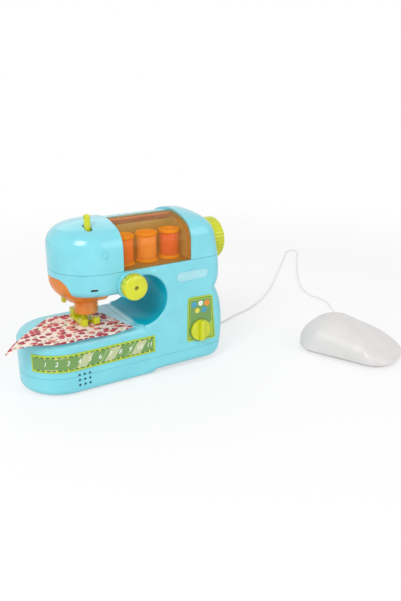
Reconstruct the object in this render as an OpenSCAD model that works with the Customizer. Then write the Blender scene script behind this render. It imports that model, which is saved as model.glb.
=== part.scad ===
// Toy sewing machine with a foot pedal, a cord between them and a piece of cloth on the bed.
// Millimetres. +X to the right along the arm, +Y to the back, +Z up, floor at z = 0.
// The origin is on the flat of the underside, below the middle of the base.

/* [Case] */
// Length of the base
body_l = 200; // [190:1:215]
// Depth of the case from front to back
body_d = 80; // [78:1:86]
// Height of the sewing bed above the floor, as a share of the crown height
bed_h_share = 0.35762; // [0.331:0.001:0.371]
// Height of the crown over the spools
crown_h = 151; // [149:0.5:156]
// Rise of the head and column tops above the crown
cap_rise = 2; // [1.5:0.5:4]
// Height of the seam under the top cap, as a share of the crown height
seam_z_share = 0.73179; // [0.728:0.001:0.742]
// Wall of the moulded shells
wall = 2.2; // [1.8:0.1:2.4]
// Rounding of the long edges of the base
base_edge_r = 8; // [6:0.5:9]
// Height of the raised right half of the underside
step_h = 3.5; // [2.5:0.5:4.5]
// Place along the length where the underside steps up, as a share of the half length
step_x_share = 0.27; // [0.22:0.001:0.34]
// Depth place of the joint between the front and rear shells, as a share of the half depth
part_y_share = 0.2; // [0.15:0.001:0.25]

/* [Column] */
// Height of the waist of the column, as a share of the crown height
waist_z_share = 0.51656; // [0.49:0.001:0.543]
// Depth by which the column side draws in at the foot
side_draw = 12; // [10:0.5:14]
// Rounding of the column corners seen from above
plan_r = 12; // [11:0.5:16]

/* [Arm and head] */
// Place of the axis of the round end of the head, as a share of the half length
head_x_share = -0.25; // [-0.26:0.001:-0.22]
// Height of the underside of the head, as a share of the crown height
head_under_z_share = 0.58278; // [0.576:0.001:0.589]
// Rounding of the lower edge of the head
head_edge_r = 8; // [6:0.5:9]
// Rounding of the shoulder of the arm
shoulder_r = 18; // [14:1:22]
// Radius of the crown of the arm
crown_r = 80; // [70:1:100]
// Radius of the throat of the machine, as a share of the crown height
throat_r_share = 0.16225; // [0.146:0.001:0.166]
// Place of the throat axis along the length, as a share of the half length
throat_x_share = 0.095; // [0.08:0.001:0.11]
// Flare of the throat edges
throat_flare = 2.5; // [1:0.5:3]

/* [Window] */
// Left edge of the spool window, as a share of the half length
window_x0_share = -0.1; // [-0.11:0.001:-0.09]
// Right edge of the spool window, as a share of the half length
window_x1_share = 0.6; // [0.58:0.001:0.62]
// Thickness of the window
window_t = 1.8; // [1.4:0.1:2.2]
// Gap round the window
window_gap = 0.4; // [0.3:0.05:0.6]
// Radius of the window hinge knuckle
knuckle_r = 1.7; // [1.5:0.1:2]
// Radius of the window hinge pin
window_pin_r = 0.8; // [0.6:0.1:1]

/* [Chin and guard] */
// Half width of the orange chin, as a share of the half depth
chin_half_share = 0.6125; // [0.575:0.001:0.65]
// Top of the orange chin, as a share of the crown height
chin_top_z_share = 0.69272; // [0.682:0.001:0.702]
// Lowest point of the orange chin, as a share of the crown height
chin_low_z_share = 0.52649; // [0.517:0.001:0.533]
// Wall of the orange chin
chin_t = 1.6; // [1.4:0.1:2]
// Radius of the needle guard
guard_r = 11; // [10.8:0.1:11.3]
// Lower end of the needle guard, as a share of the crown height
guard_low_z_share = 0.4404; // [0.44:0.001:0.45]
// Wall of the needle guard
guard_t = 1.5; // [1.2:0.1:1.6]

/* [Needle and presser] */
// Place of the needle along the length, as a share of the half length
needle_x_share = -0.345; // [-0.35:0.001:-0.34]
// Place of the needle in depth, as a share of the half depth
needle_y_share = -0.25; // [-0.263:0.001:-0.237]
// Place of the presser bar in depth, as a share of the half depth
presser_y_share = -0.025; // [-0.031:0.001:-0.013]
// Radius of both bars
bar_r = 2; // [1.6:0.1:2.1]
// Radius of the blunt needle
needle_r = 0.9; // [0.7:0.1:1.1]
// Height of the needle tip at its lowest, as a share of the crown height
needle_tip_z_share = 0.3894; // [0.384:0.001:0.397]
// Throw of the crank, half the needle stroke, as a share of the crown height
crank_r_share = 0.02649; // [0.02:0.001:0.028]
// Rise of the presser foot, as a share of the crown height
foot_lift_share = 0.02649; // [0.02:0.001:0.026]
// Width of the presser foot
foot_w = 18; // [16:0.5:19]
// Length of the presser foot
foot_l = 32; // [28:1:33]
// Thickness of the presser foot sole
foot_t = 3; // [2:0.25:3.25]
// Height of the toes of the presser foot, as a share of the crown height
toe_h_share = 0.04371; // [0.033:0.001:0.045]

/* [Drive] */
// Height of the main shaft, as a share of the crown height
shaft_z_share = 0.77815; // [0.775:0.001:0.785]
// Radius of the main shaft
shaft_r = 2.5; // [2:0.1:2.7]
// Radius of the handwheel
wheel_r = 21; // [19:0.5:24]
// Width of the handwheel
wheel_w = 14; // [10:0.5:18]
// Grooves round the handwheel
wheel_grooves = 36; // [24:1:48]
// Radius of the pulley on the main shaft
pulley_r = 13; // [10:0.5:14]
// Radius of the motor pulley
motor_pulley_r = 4; // [3:0.25:5]
// Distance between the pulley axes, as a share of the crown height
belt_drop_share = 0.19868; // [0.192:0.001:0.212]
// Radius of the motor can
motor_r = 10; // [8:0.5:10.5]
// Length of the motor can
motor_l = 25; // [20:1:27]

/* [Spools] */
// Radius of a spool flange, as a share of the spool distance
spool_r_share = 0.42975; // [0.388:0.001:0.449]
// Height of a spool, as a share of the crown height
spool_h_share = 0.18874; // [0.159:0.001:0.199]
// Thickness of a spool flange
flange_t = 3.4; // [2.4:0.2:4]
// Radius of the barrel of a spool, as a share of the flange radius
barrel_r_share = 0.57692; // [0.467:0.001:0.607]
// Diameter of the wound thread
thread_d = 1.9; // [1.4:0.1:2]
// Loops of thread in the outer layer
thread_loops = 7; // [5:1:9]
// Distance between spools, as a share of the window length
spool_pitch_share = 0.34571; // [0.336:0.001:0.354]
// Place of the spools in depth, as a share of the half depth
spool_y_share = -0.4125; // [-0.45:0.001:-0.406]
// Radius of a spool peg
peg_r = 2.5; // [2:0.1:3]

/* [Controls] */
// Place of the front knob along the length, as a share of the half length
knob_x_share = -0.04; // [-0.05:0.001:-0.03]
// Height of the front knob, as a share of the crown height
knob_z_share = 0.64238; // [0.636:0.001:0.649]
// Radius of the front knob
knob_r = 12; // [10:0.5:13]
// Length of the front knob
knob_w = 9; // [7:0.5:11]
// Radius of the moulded boss behind the knob
boss_r = 13.5; // [13:0.25:14]
// Height of that boss
boss_h = 3.5; // [2.5:0.25:5]
// Place of the selector dial along the length, as a share of the half length
dial_x_share = 0.69; // [0.68:0.001:0.71]
// Height of the selector dial, as a share of the crown height
dial_z_share = 0.25; // [0.24:0.001:0.26]
// Radius of the selector dial
dial_r = 10.6; // [9:0.2:11]
// Thickness of the selector dial
dial_t = 3; // [2:0.25:4]
// Height of the grip on the dial
grip_h = 3.5; // [2.5:0.25:4.5]
// Lower edge of the ruler label, as a share of the crown height
label_z0_share = 0.16887; // [0.159:0.001:0.179]
// Upper edge of the ruler label, as a share of the crown height
label_z1_share = 0.28146; // [0.272:0.001:0.291]
// Right end of the ruler label, as a share of the half length
label_x1_share = 0.19; // [0.15:0.001:0.21]
// Angle that the ruler label wraps round the end
label_wrap = 60; // [45:7.5:75]
// Thickness of the labels and plates on the case
label_t = 0.6; // [0.4:0.1:1]

/* [Pedal] */
// Length of the pedal
pedal_l = 103; // [97:1:109]
// Width of the pedal
pedal_w = 65; // [61:1:69]
// Height of the pedal at its heel
pedal_h = 36; // [33:0.5:39]
// Height of the pedal at its toe
pedal_toe_h = 12.5; // [12:0.5:15]
// Place of the pedal to the right
pedal_x = 221; // [217:1:225]
// Place of the pedal in depth
pedal_y = -96; // [-100:1:-92]
// Turn of the pedal on the floor
pedal_turn = -66; // [-70:1:-62]

/* [Cord] */
// Diameter of the cord
cord_d = 2.4; // [2:0.1:3]

/* [Cloth] */
// Thickness of the cloth
cloth_t = 0.7; // [0.5:0.1:0.8]
// Height of the waves in the free edge of the cloth
cloth_wave = 1.4; // [0.5:0.1:2]

/* [Hidden] */

$fn = 64;

// Colours of the finishes
aqua = [0.51, 0.84, 0.87];
lime = [0.84, 0.86, 0.1];
orange = [1, 0.53, 0.04, 0.7];
spool_orange = [0.94, 0.63, 0];
steel = [0.72, 0.73, 0.75];
dark = [0.15, 0.15, 0.17];
white = [0.94, 0.94, 0.93];

// Clearances and overruns
gap = 0.3;
fit = 0.1;
press = 0.02;
over = 2;

// Facets of the moulded shells
end_n = 24;
corner_n = 4;
edge_step = 30;
shoulder_n = 4;
crown_n = 4;
post_n = 12;
hole_n = 12;

// Places and sizes that follow the length, depth and height of the case
half_d = body_d / 2;
right_x = body_l / 2;
bed_h = bed_h_share * crown_h;
seam_z = seam_z_share * crown_h;
waist_z = waist_z_share * crown_h;
head_under_z = head_under_z_share * crown_h;
throat_r = throat_r_share * crown_h;
chin_top_z = chin_top_z_share * crown_h;
chin_low_z = chin_low_z_share * crown_h;
guard_low_z = guard_low_z_share * crown_h;
needle_tip_z = needle_tip_z_share * crown_h;
crank_r = crank_r_share * crown_h;
foot_lift = foot_lift_share * crown_h;
toe_h = toe_h_share * crown_h;
shaft_z = shaft_z_share * crown_h;
belt_drop = belt_drop_share * crown_h;
spool_h = spool_h_share * crown_h;
knob_z = knob_z_share * crown_h;
dial_z = dial_z_share * crown_h;
label_z0 = label_z0_share * crown_h;
label_z1 = label_z1_share * crown_h;
step_x = step_x_share * right_x;
head_x = head_x_share * right_x;
throat_x = throat_x_share * right_x;
window_x0 = window_x0_share * right_x;
window_x1 = window_x1_share * right_x;
needle_x = needle_x_share * right_x;
knob_x = knob_x_share * right_x;
dial_x = dial_x_share * right_x;
label_x1 = label_x1_share * right_x;
part_y = part_y_share * half_d;
chin_half = chin_half_share * half_d;
needle_y = needle_y_share * half_d;
presser_y = presser_y_share * half_d;
spool_y = spool_y_share * half_d;
spool_pitch = spool_pitch_share * (window_x1 - window_x0);
spool_r = spool_r_share * spool_pitch;
barrel_r = barrel_r_share * spool_r;

// Case levels and planes
end_x = -right_x + half_d;
cap_top = crown_h + cap_rise;
throat_z = bed_h + throat_r;
floor_gap = 0.6;
base_x1 = right_x - side_draw;
deck_t = 1.5;
deck_z = seam_z - 2 * deck_t;
deck_top = deck_z + deck_t;
deck_x1 = window_x1 + 5 * wall + deck_t;
inner_d = half_d - wall;

// Column side: shares of the stretch in height, of the draw and of the lower rounding
pedestal_shares = [[0, 1, 0.75], [0.03, 0.5, 0.3], [0.115, 0.25, 0], [0.3, 0.06, 0], [0.49, 0, 0], [0.76, 0.15, 0],
    [1, 0.67, 0]];
column_shares = [[0, 0.67], [0.3, 0.36], [0.6, 0.32], [1, 0.42]];
cap_shares = [[0, 0.42], [0.35, 0.64], [0.666, 0.93], [0.815, 1.3], [0.927, 1.8], [0.975, 2.35], [1, 3.1]];

// Chin: shares of its height, and of the length and width of its mouth
chin_x0 = head_x - half_d;
chin_x1 = needle_x + 1.59 * guard_r;
chin_shares = [[0, 0.28, 0.935, 0.755], [0.1, 0.22, 0.955, 0.88], [0.26, 0.13, 0.98, 0.97], [0.42, 0.065, 1, 1],
    [0.7, 0.012, 0.4, 1], [1, 0.004, 0.4, 1]];
chin_inner_shares = [[0, 0.28, 0.935, 0.755], [0.1, 0.22, 0.955, 0.88], [0.26, 0.13, 0.98, 0.97], [0.42, 0.065, 1, 1],
    [0.7, 0.012, 1.1, 1], [1.2, 0.004, 1.1, 1]];
chin_n = 12;

// Guard, bars and crank
guard_y = (needle_y + presser_y) / 2;
guard_seat_z = chin_low_z + chin_t + gap;
guard_flange_t = 1.5;
guard_flange = 1.2;
bracket_t = 3;
bracket_x = needle_x - 4.25 * bar_r;
bracket_rise = 0.1523 * crown_h;
bracket_z = deck_top + bracket_rise;
needle_bar_top = bracket_z + 6;
needle_bar_low = guard_low_z + 3.5;
crank_pin_r = 1.5;
crank_disc_r = 2 * crank_r;
crank_disc_t = 3;
crank_x = window_x0 - wall - 6;
crank_pin_l = 3.2;
yoke_t = 2.2;
yoke_rim = 2;
yoke_x = crank_x - crank_disc_t - crank_pin_l - 0.5;
yoke_z = shaft_z - crank_r;
bush_w = 4;
bush_half = 6;
bush_rim = 3;
take_up_y = needle_y - half_d / 4;
take_up_z = bracket_z - 4;
take_up_w = 5;
take_up_d = 5.4;
take_up_top = cap_top + 8.5;
take_up_slot = 14;
pin_r = 1.2;
presser_top = bracket_z - 1;
collar_r = 4;
collar_t = 2;
collar_z = deck_top + 5;
foot_z = bed_h + gap + cloth_t + gap;
foot_block_h = 0.0702 * crown_h;
foot_block_l = 9;
toe_l = 6;
toe_w = 6;
foot_front = needle_y - toe_l;
lug_w = 4;
lug_t = 3;
lift_angle = 20;
lifter_arm = foot_lift / sin(lift_angle);
lifter_x = needle_x + lifter_arm;
lifter_z = head_under_z + 0.0397 * crown_h;
lifter_t = 4;
lifter_y0 = presser_y + collar_r + 1;
lifter_reach = 29;
lifter_half = 2;
lug_z = lifter_z + 1.75 * lifter_half;
lifter_tip_z = lifter_z - 0.1258 * crown_h;
spring_wire = 0.8;
spring_curls = 5;
lamp_r = 2.5;
lamp_l = 7;

// Drive
wheel_x0 = right_x - 2.2;
wheel_groove_r = 0.9;
hub_r = 7;
pulley_w = 6;
pulley_rim = 1.5;
pulley_x = window_x1 + 0.16 * right_x;
belt_t = 1.2;
belt_w = 4;
motor_z = shaft_z - belt_drop;
motor_shaft_r = 1;
mount_t = 2;
mount_half = 14;
mount_x = deck_x1 - mount_t;
mount_hole_r = 3.2;
wall_bush_r = 4;

// Spool bay
spool_mid_x = (window_x0 + window_x1) / 2;
spool_z = deck_top + 0.5;
peg_h = 0.7 * spool_h;
winding_h = spool_h - 2 * flange_t;
winding_core_r = barrel_r + 1.2;
winding_r = winding_core_r + thread_d / 2 + 0.05;
winding_pitch = (winding_h - thread_d - 2 * gap) / thread_loops;
loop_n = 24;
loop_sides = 6;
bay_wall_y = spool_y + spool_r + 0.9;
bay_wall_t = 1.6;
hinge_y = 0.5;
hinge_z = crown_h - knuckle_r - 0.9;
strip_y = hinge_y + knuckle_r + 1.75;
window_z0 = seam_z + window_gap;

// Posts and screws that hold the shells together: shares of the length and of the bed height
post_shares = [[-0.6, 0.74], [-0.14, 0.68], [0.2, 0.68], [0.46, 0.26], [0.8, 0.3], [0.82, 1.28], [0.46, 1.24],
    [0.36, 1.8]];
post_r = 3.5;
post_foot_r = 5;
screw_r = 1.3;
screw_l = 10;
screw_head_r = 2.7;
screw_head_t = 1.8;
screw_seat = 4;

// Underside, batteries and speaker
plate_inset = 0.225 * half_d;
plate_t = 2.4;
pad_r = 6;
pad_x = 0.76 * right_x;
pad_y = half_d / 2;
battery_r = 7.25;
battery_end = 5.75;
battery_l = 2 * (half_d - plate_inset - battery_end);
battery_pitch = 15.2;
battery_x = end_x + 0.375 * half_d;
battery_y = 0.5;
battery_z = plate_t + battery_r + 0.4;
box_t = 1.6;
box_h = 11;
box_w = 3 * battery_pitch + 2 * gap;
box_l = battery_l + 4;
door_lip = 2;
speaker_x = end_x + 0.17 * half_d;
speaker_z = 0.1159 * crown_h;
speaker_low = 8.6;
speaker_r = speaker_z - speaker_low;
speaker_t = 7;
hole_pitch = 5;
hole_r = 0.9;

// Front controls
knob_hole_r = 2;
knob_grooves = 24;
knob_groove_r = 0.7;
spindle_r = 2.5;
spindle_l = 14;
dial_shaft_r = 2.5;
grip_w = 4.5;
switch_r = 7;
switch_t = 3;
board_w = 0.36 * right_x;
board_h = 0.2517 * crown_h;
board_t = 1.6;
panel_shares = [[-0.449, -0.205], [0.491, -0.243], [0.38, 0.595], [-0.406, 0.613]];
panel_w = 0.35 * right_x;
panel_h = 0.3709 * crown_h;
panel_corner = 2.5;
plaque_w = 34;
plaque_h = 9;
plaque_x = 0.61 * right_x;
plaque_z = 0.6311 * crown_h;
slot_x = -0.38 * right_x;
slot_z = 0.6391 * crown_h;
slot_w = 6.5;
slot_h = 2.2;
gland_y = 0.7 * half_d;
gland_z = 0.0927 * crown_h;
gland_r = 3;
gland_x1 = right_x + 5;
gland_tip_r = 1.9;

// Pedal
pedal_corner = 24;
pedal_floor = 1;
pedal_base_h = 5.5;
pedal_inset = 3.8;
pedal_skirt_z = 4;
pedal_wall = 2;
pedal_full = 2.6;
pedal_rings = 8;
pedal_pin_u = 34;
pedal_pin_z = 8.5;
pedal_pin_r = 1.5;
pedal_ear_v = 16;
pedal_ear_t = 4;
pedal_spring_u = -24;
pedal_spring_r = 5;
pedal_post_z = 18;
pedal_gland_u = -20;
pedal_gland_r = 2.2;
pedal_gland_l = 8;
pedal_gland_z = 3.6;
pedal_pad_r = 5;

// Cord route along the floor: from the gland of the machine to that of the pedal
cord_r = cord_d / 2;
cord_route = [[117, 29, 12], [125, 31, 7], [134, 34, 2.6], [144, 37, 1.2], [156, 41, 1.2], [172, 48, 1.2],
    [196, 56, 1.2], [220, 68, 1.2], [242, 83, 1.2], [270, 106, 1.2], [300, 134, 1.2], [340, 174, 1.2],
    [378, 211, 1.2], [398, 231, 1.2], [411, 238, 1.2], [417, 231, 1.2], [409, 217, 1.2], [390, 196, 1.2],
    [370, 172, 1.2], [350, 147, 1.2], [330, 120, 1.2], [314, 97, 1.2], [304, 79, 1.2], [299, 64, 1.2],
    [298, 51, 1.2], [300, 40, 1.2], [297, 24, 1.2], [289, 8, 1.2], [280, -10, 1.2], [270, -31, 1.4],
    [264, -45, 2], [257.5, -55.8, 3]];
cord_rings = 78;
cord_sides = 8;

// Corners of the cloth on the bed: shares of the base length and depth, left, right, back right, back left
cloth_shares = [[-0.595, -0.65], [-0.015, -1.02], [-0.065, 0.3], [-0.31, 0.64]];
cloth_bulge = 9;
cloth_n = 24;
cloth_m = 10;
cloth_z = bed_h + gap;

// Points of an arc in the plane
function arc(cx, cy, r, a0, a1, n) =
    [for (i = [0:n]) let (a = a0 + (a1 - a0) * i / n) [cx + r * cos(a), cy + r * sin(a)]];
function at_height(points, z) = [for (p = points) [p[0], p[1], z]];
function mix(a, b, t) = a + (b - a) * t;

// Half width of the arm section at a height, for a crown that tops out at the given height
function shoulder_z(top) =
    top - crown_r + sqrt(pow(crown_r - shoulder_r, 2) - pow(half_d - shoulder_r, 2));
function tangent_a(top) = atan2(shoulder_z(top) - top + crown_r, half_d - shoulder_r);
function half_width(z, top) =
    let (zs = shoulder_z(top), ze = zs + shoulder_r * sin(tangent_a(top)))
    z <= zs ? half_d
    : z <= ze ? half_d - shoulder_r + sqrt(max(0, pow(shoulder_r, 2) - pow(z - zs, 2)))
    : sqrt(max(0, pow(crown_r, 2) - pow(z - top + crown_r, 2)));

// Front half of the arm section as [half width, height] from the seam to near the crown's top
function section_points(z0, top) =
    let (zs = shoulder_z(top), at = tangent_a(top), a_end = 87)
    concat([[half_d, z0], [half_d, (z0 + zs) / 2]],
        [for (p = arc(half_d - shoulder_r, zs, shoulder_r, 0, at, shoulder_n)) p],
        [for (i = [1:crown_n]) let (a = mix(at, a_end, i / crown_n))
            [crown_r * cos(a), top - crown_r + crown_r * sin(a)]]);

// A closed solid through rings of points
module loft(rings) {
    n = len(rings[0]);
    m = len(rings);
    polyhedron(points = [for (r = rings) each r],
        faces = concat([[for (i = [0:n - 1]) i]], [[for (i = [0:n - 1]) m * n - 1 - i]],
            [for (j = [0:m - 2], i = [0:n - 1]) let (a = j * n + i, b = j * n + (i + 1) % n) [a, a + n, b + n]],
            [for (j = [0:m - 2], i = [0:n - 1]) let (a = j * n + i, b = j * n + (i + 1) % n) [a, b + n, b]]));
}

// A tube of a given radius along a line of points
function unit(v) = v / norm(v);
function line_tangent(p, i) = unit(p[min(i + 1, len(p) - 1)] - p[max(i - 1, 0)]);
function tube_rings(p, r, n) = [for (i = [0:len(p) - 1])
    let (t = line_tangent(p, i), s = unit(cross(t, [0, 0, 1])), u = cross(t, s))
    [for (k = [0:n - 1]) let (a = 360 * k / n) p[i] + r * (cos(a) * s + sin(a) * u)]];

// Smooth curve through route points, as points at even distances
function curve_at(p, i, t) =
    let (a = p[max(i - 1, 0)], b = p[i], c = p[i + 1], d = p[min(i + 2, len(p) - 1)])
    0.5 * (2 * b + (c - a) * t + (2 * a - 5 * b + 4 * c - d) * t * t + (3 * b - a - 3 * c + d) * t * t * t);
function fine_curve(p, k) =
    concat([for (i = [0:len(p) - 2], j = [0:k - 1]) curve_at(p, i, j / k)], [p[len(p) - 1]]);
function run_sums(p, i = 0, s = 0, out = []) =
    i == len(p) ? out : run_sums(p, i + 1, i < len(p) - 1 ? s + norm(p[i + 1] - p[i]) : s, concat(out, [s]));
function find_run(sums, s, i = 0) = i >= len(sums) - 2 || sums[i + 1] > s ? i : find_run(sums, s, i + 1);
function even_points(p, n) =
    let (sums = run_sums(p), total = sums[len(sums) - 1])
    [for (k = [0:n - 1]) let (s = total * k / (n - 1), i = find_run(sums, s))
        p[i] + (p[i + 1] - p[i]) * min(1, (s - sums[i]) / max(sums[i + 1] - sums[i], press))];

// A helix of a tube about the vertical, with straight ends one diameter long
function helix_points(r, pitch, loops, n) =
    let (count = loops * n)
    [for (i = [0:count]) let (a = 360 * i / n) [r * cos(a), r * sin(a), pitch * i / n]];
function with_ends(p, d) =
    let (e = len(p) - 1)
    concat([p[0] - d * unit([0, 1, 0])], p, [p[e] + d * unit([p[e][0] - p[e - 1][0], p[e][1] - p[e - 1][1], 0])]);

// Screws, posts and rings that repeat
module along_y(x, y, z) translate([x, y, z]) rotate([-90, 0, 0]) children();
module to_front(x, y, z) translate([x, y, z]) rotate([90, 0, 0]) children();
module along_x(x, y, z) translate([x, y, z]) rotate([0, 90, 0]) children();
module tube(h, r, hole) difference() {
    cylinder(h = h, r = r);
    translate([0, 0, -over]) cylinder(h = h + 2 * over, r = hole);
}
module block(x0, x1, y0, y1, z0, z1) translate([x0, y0, z0]) cube([x1 - x0, y1 - y0, z1 - z0]);
function post_place(s) = [s[0] * right_x, s[1] * bed_h];
module rounded(l, w, r) {
    square([l - 2 * r, w], center = true);
    square([l, w - 2 * r], center = true);
    for (sx = [-1, 1], sy = [-1, 1]) translate([sx * (l / 2 - r), sy * (w / 2 - r)]) circle(r = r);
}

// Rings of the case, seen from above
function base_ring(x1, z, inset) =
    at_height(concat(arc(end_x, 0, half_d - inset, 90, 270, end_n),
        arc(x1 - plan_r, plan_r - half_d, plan_r - inset, -90, 0, corner_n),
        arc(x1 - plan_r, half_d - plan_r, plan_r - inset, 0, 90, corner_n)), z);
function base_rings(x1, z0, z1, grow) =
    concat([for (a = [0:edge_step:90])
            base_ring(x1, z0 + grow + base_edge_r * (1 - cos(a)), grow + base_edge_r * (1 - sin(a)))],
        [for (a = [90:-edge_step:0])
            base_ring(x1, z1 - grow - base_edge_r * (1 - cos(a)), grow + base_edge_r * (1 - sin(a)))]);
function column_ring(x0, z, draw, hw, grow) =
    let (r = min(plan_r, hw - wall), x1 = max(right_x - draw, x0 - grow + wall + gap + r))
    at_height(concat([[x0, hw - grow], [x0, grow - hw]],
        arc(x1 - r, r - hw, r - grow, -90, 0, corner_n), arc(x1 - r, hw - r, r - grow, 0, 90, corner_n)), z);
function pedestal_rings(grow) = [for (s = pedestal_shares)
    column_ring(throat_x + grow, mix(step_h + grow, waist_z, s[0]), side_draw * s[1], half_d - base_edge_r * s[2], grow)];
function upper_rings(grow) =
    concat([for (s = column_shares)
            column_ring(throat_x + grow, mix(waist_z, seam_z, s[0]), side_draw * s[1], half_d, grow)],
        grow > 0 ? [column_ring(throat_x + grow, seam_z + over, side_draw * column_shares[3][1], half_d, grow)] : []);
function head_ring(x1, z, inset) =
    at_height(concat(arc(head_x, 0, half_d - inset, 90, 270, end_n),
        [[x1, inset - half_d], [x1, half_d - inset]]), z);
function arm_rings(grow) =
    concat([for (a = [0:edge_step:90])
            head_ring(window_x1, head_under_z + grow + head_edge_r * (1 - cos(a)),
                grow + head_edge_r * (1 - sin(a)))],
        [head_ring(window_x1, seam_z + (grow > 0 ? over : 0), grow)]);
function head_cap_rings(grow) =
    let (s = section_points(seam_z, cap_top), last = len(s) - 1)
    concat(grow > 0 ? [head_ring(window_x0 - grow, seam_z - over, half_d - s[0][0] + grow)] : [],
        [for (i = [0:last]) head_ring(window_x0 - grow, i == 0 ? s[0][1] : s[i][1] - grow,
            half_d - s[i][0] + grow * (i == last ? 0 : 1))]);
function cap_z(s) = mix(seam_z, cap_top, s);
function column_cap_rings(grow) =
    concat(grow > 0 ? [column_ring(window_x1 + grow, seam_z - over, side_draw * cap_shares[0][1], half_d, grow)] : [],
        [for (s = cap_shares) column_ring(window_x1 + grow, cap_z(s[0]) - (s[0] > 0 ? grow : 0),
            side_draw * s[1], max(half_width(cap_z(min(s[0], 0.998)), cap_top), 3 * wall), grow)]);

// Lower half of the case before it is cut into the front and rear shells
module lower_outer() {
    loft(base_rings(step_x, floor_gap, bed_h, 0));
    loft(base_rings(base_x1, step_h, bed_h, 0));
    loft(pedestal_rings(0));
    loft(upper_rings(0));
    loft(arm_rings(0));
}
module lower_inner() {
    loft(base_rings(step_x, floor_gap, bed_h, wall));
    loft(base_rings(base_x1, step_h, bed_h, wall));
    loft(pedestal_rings(wall));
    loft(upper_rings(wall));
    loft(arm_rings(wall));
}
module throat(grow) {
    along_y(throat_x, -half_d - over, throat_z) cylinder(h = body_d + 2 * over, r = throat_r + grow);
    block(-body_l, throat_x, -half_d - over, half_d + over, bed_h - grow, head_under_z + grow);
}
module throat_rim() {
    along_y(throat_x, -half_d, throat_z) cylinder(h = throat_flare, r1 = throat_r + throat_flare, r2 = throat_r);
    along_y(throat_x, half_d - throat_flare, throat_z)
        cylinder(h = throat_flare, r1 = throat_r, r2 = throat_r + throat_flare);
}
module plate_outline(inset) {
    translate([end_x, 0]) circle(r = half_d - inset);
    translate([end_x, inset - half_d]) square([base_x1 - inset - end_x, body_d - 2 * inset]);
}
module front_openings() {
    for (i = [-1:1], j = [-1:1])
        along_y(speaker_x + i * hole_pitch, -half_d - over, speaker_z - wall + j * hole_pitch)
            cylinder(h = 3 * over + wall, r = hole_r, $fn = hole_n);
    along_y(knob_x, -half_d - boss_h - over, knob_z) cylinder(h = half_d, r = spindle_r + gap, $fn = end_n);
    along_y(dial_x, -half_d - over, dial_z) cylinder(h = 2 * over + wall, r = dial_shaft_r + gap, $fn = end_n);
    block(slot_x - slot_w / 2, slot_x + slot_w / 2, -half_d - over, over - inner_d, slot_z - slot_h / 2,
        slot_z + slot_h / 2);
}
module chin_opening() block(-right_x, chin_x1 + gap, -chin_half - gap, chin_half + gap,
    bed_h + wall, chin_top_z + gap);
module lower_case() difference() {
    union() {
        difference() {
            lower_outer();
            throat(0);
            throat_rim();
        }
        along_y(knob_x, -half_d - boss_h, knob_z) cylinder(h = half_d / 2, r = boss_r, $fn = 2 * end_n);
    }
    difference() {
        lower_inner();
        throat(wall);
    }
    translate([0, 0, -over]) linear_extrude(step_h + wall + 2 * over) plate_outline(plate_inset);
    chin_opening();
    front_openings();
    along_x(right_x - side_draw, gland_y, gland_z) cylinder(h = body_l, r = gland_r + fit, $fn = end_n);
}
module posts(y0, y1, foot_y) for (s = post_shares) let (p = post_place(s)) hull() {
    along_y(p[0], y0, p[1]) cylinder(h = y1 - y0, r = post_r, $fn = post_n);
    along_y(p[0], foot_y, p[1]) cylinder(h = wall / 2, r = post_foot_r, $fn = post_n);
}
module front_shell() color(aqua) difference() {
    union() {
        intersection() {
            lower_case();
            block(-body_l, body_l, -body_d, part_y, -over, seam_z + over);
        }
        posts(-inner_d - wall / 2, part_y, -inner_d - wall / 2);
    }
    for (s = post_shares) let (p = post_place(s))
        along_y(p[0], part_y - screw_l, p[1]) cylinder(h = screw_l + over, r = screw_r + fit, $fn = hole_n);
}
module rear_shell() color(aqua) difference() {
    union() {
        intersection() {
            lower_case();
            block(-body_l, body_l, part_y + press, body_d, -over, seam_z + over);
        }
        posts(part_y + press, inner_d + wall / 2, inner_d);
    }
    for (s = post_shares) let (p = post_place(s)) {
        along_y(p[0], 0, p[1]) cylinder(h = body_d, r = screw_r + gap, $fn = hole_n);
        along_y(p[0], part_y + screw_seat, p[1]) cylinder(h = body_d, r = screw_head_r + gap, $fn = hole_n);
    }
}

// Rear part of the crown behind the window, and the wall at the back of the spool bay
module strip_section() {
    s = section_points(seam_z, crown_h);
    outer = [for (p = s) [p[0] - gap, mix(seam_z + gap, crown_h - gap, (p[1] - seam_z) / (crown_h - seam_z))]];
    inner = [for (p = s) [p[0] - wall, p[1] - wall * (p[1] - seam_z) / (crown_h - seam_z)]];
    difference() {
        polygon(concat(outer, [[0, crown_h - gap], [0, seam_z + gap]]));
        polygon(concat([[inner_d, seam_z - over]], inner, [[-over, crown_h - wall], [-over, seam_z - over]]));
        translate([-over, 0]) square([strip_y + over, body_l]);
    }
}
module cap_rib(x, s) hull() {
    block(x, x + wall, min(s * inner_d, s * (inner_d - wall)), max(s * inner_d, s * (inner_d - wall)),
        seam_z + wall, seam_z + 2 * wall);
    block(x, x + wall, min(s * inner_d, s * (inner_d - wall)), max(s * inner_d, s * (inner_d - wall)),
        seam_z + 6 * wall, seam_z + 7 * wall);
}
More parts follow.
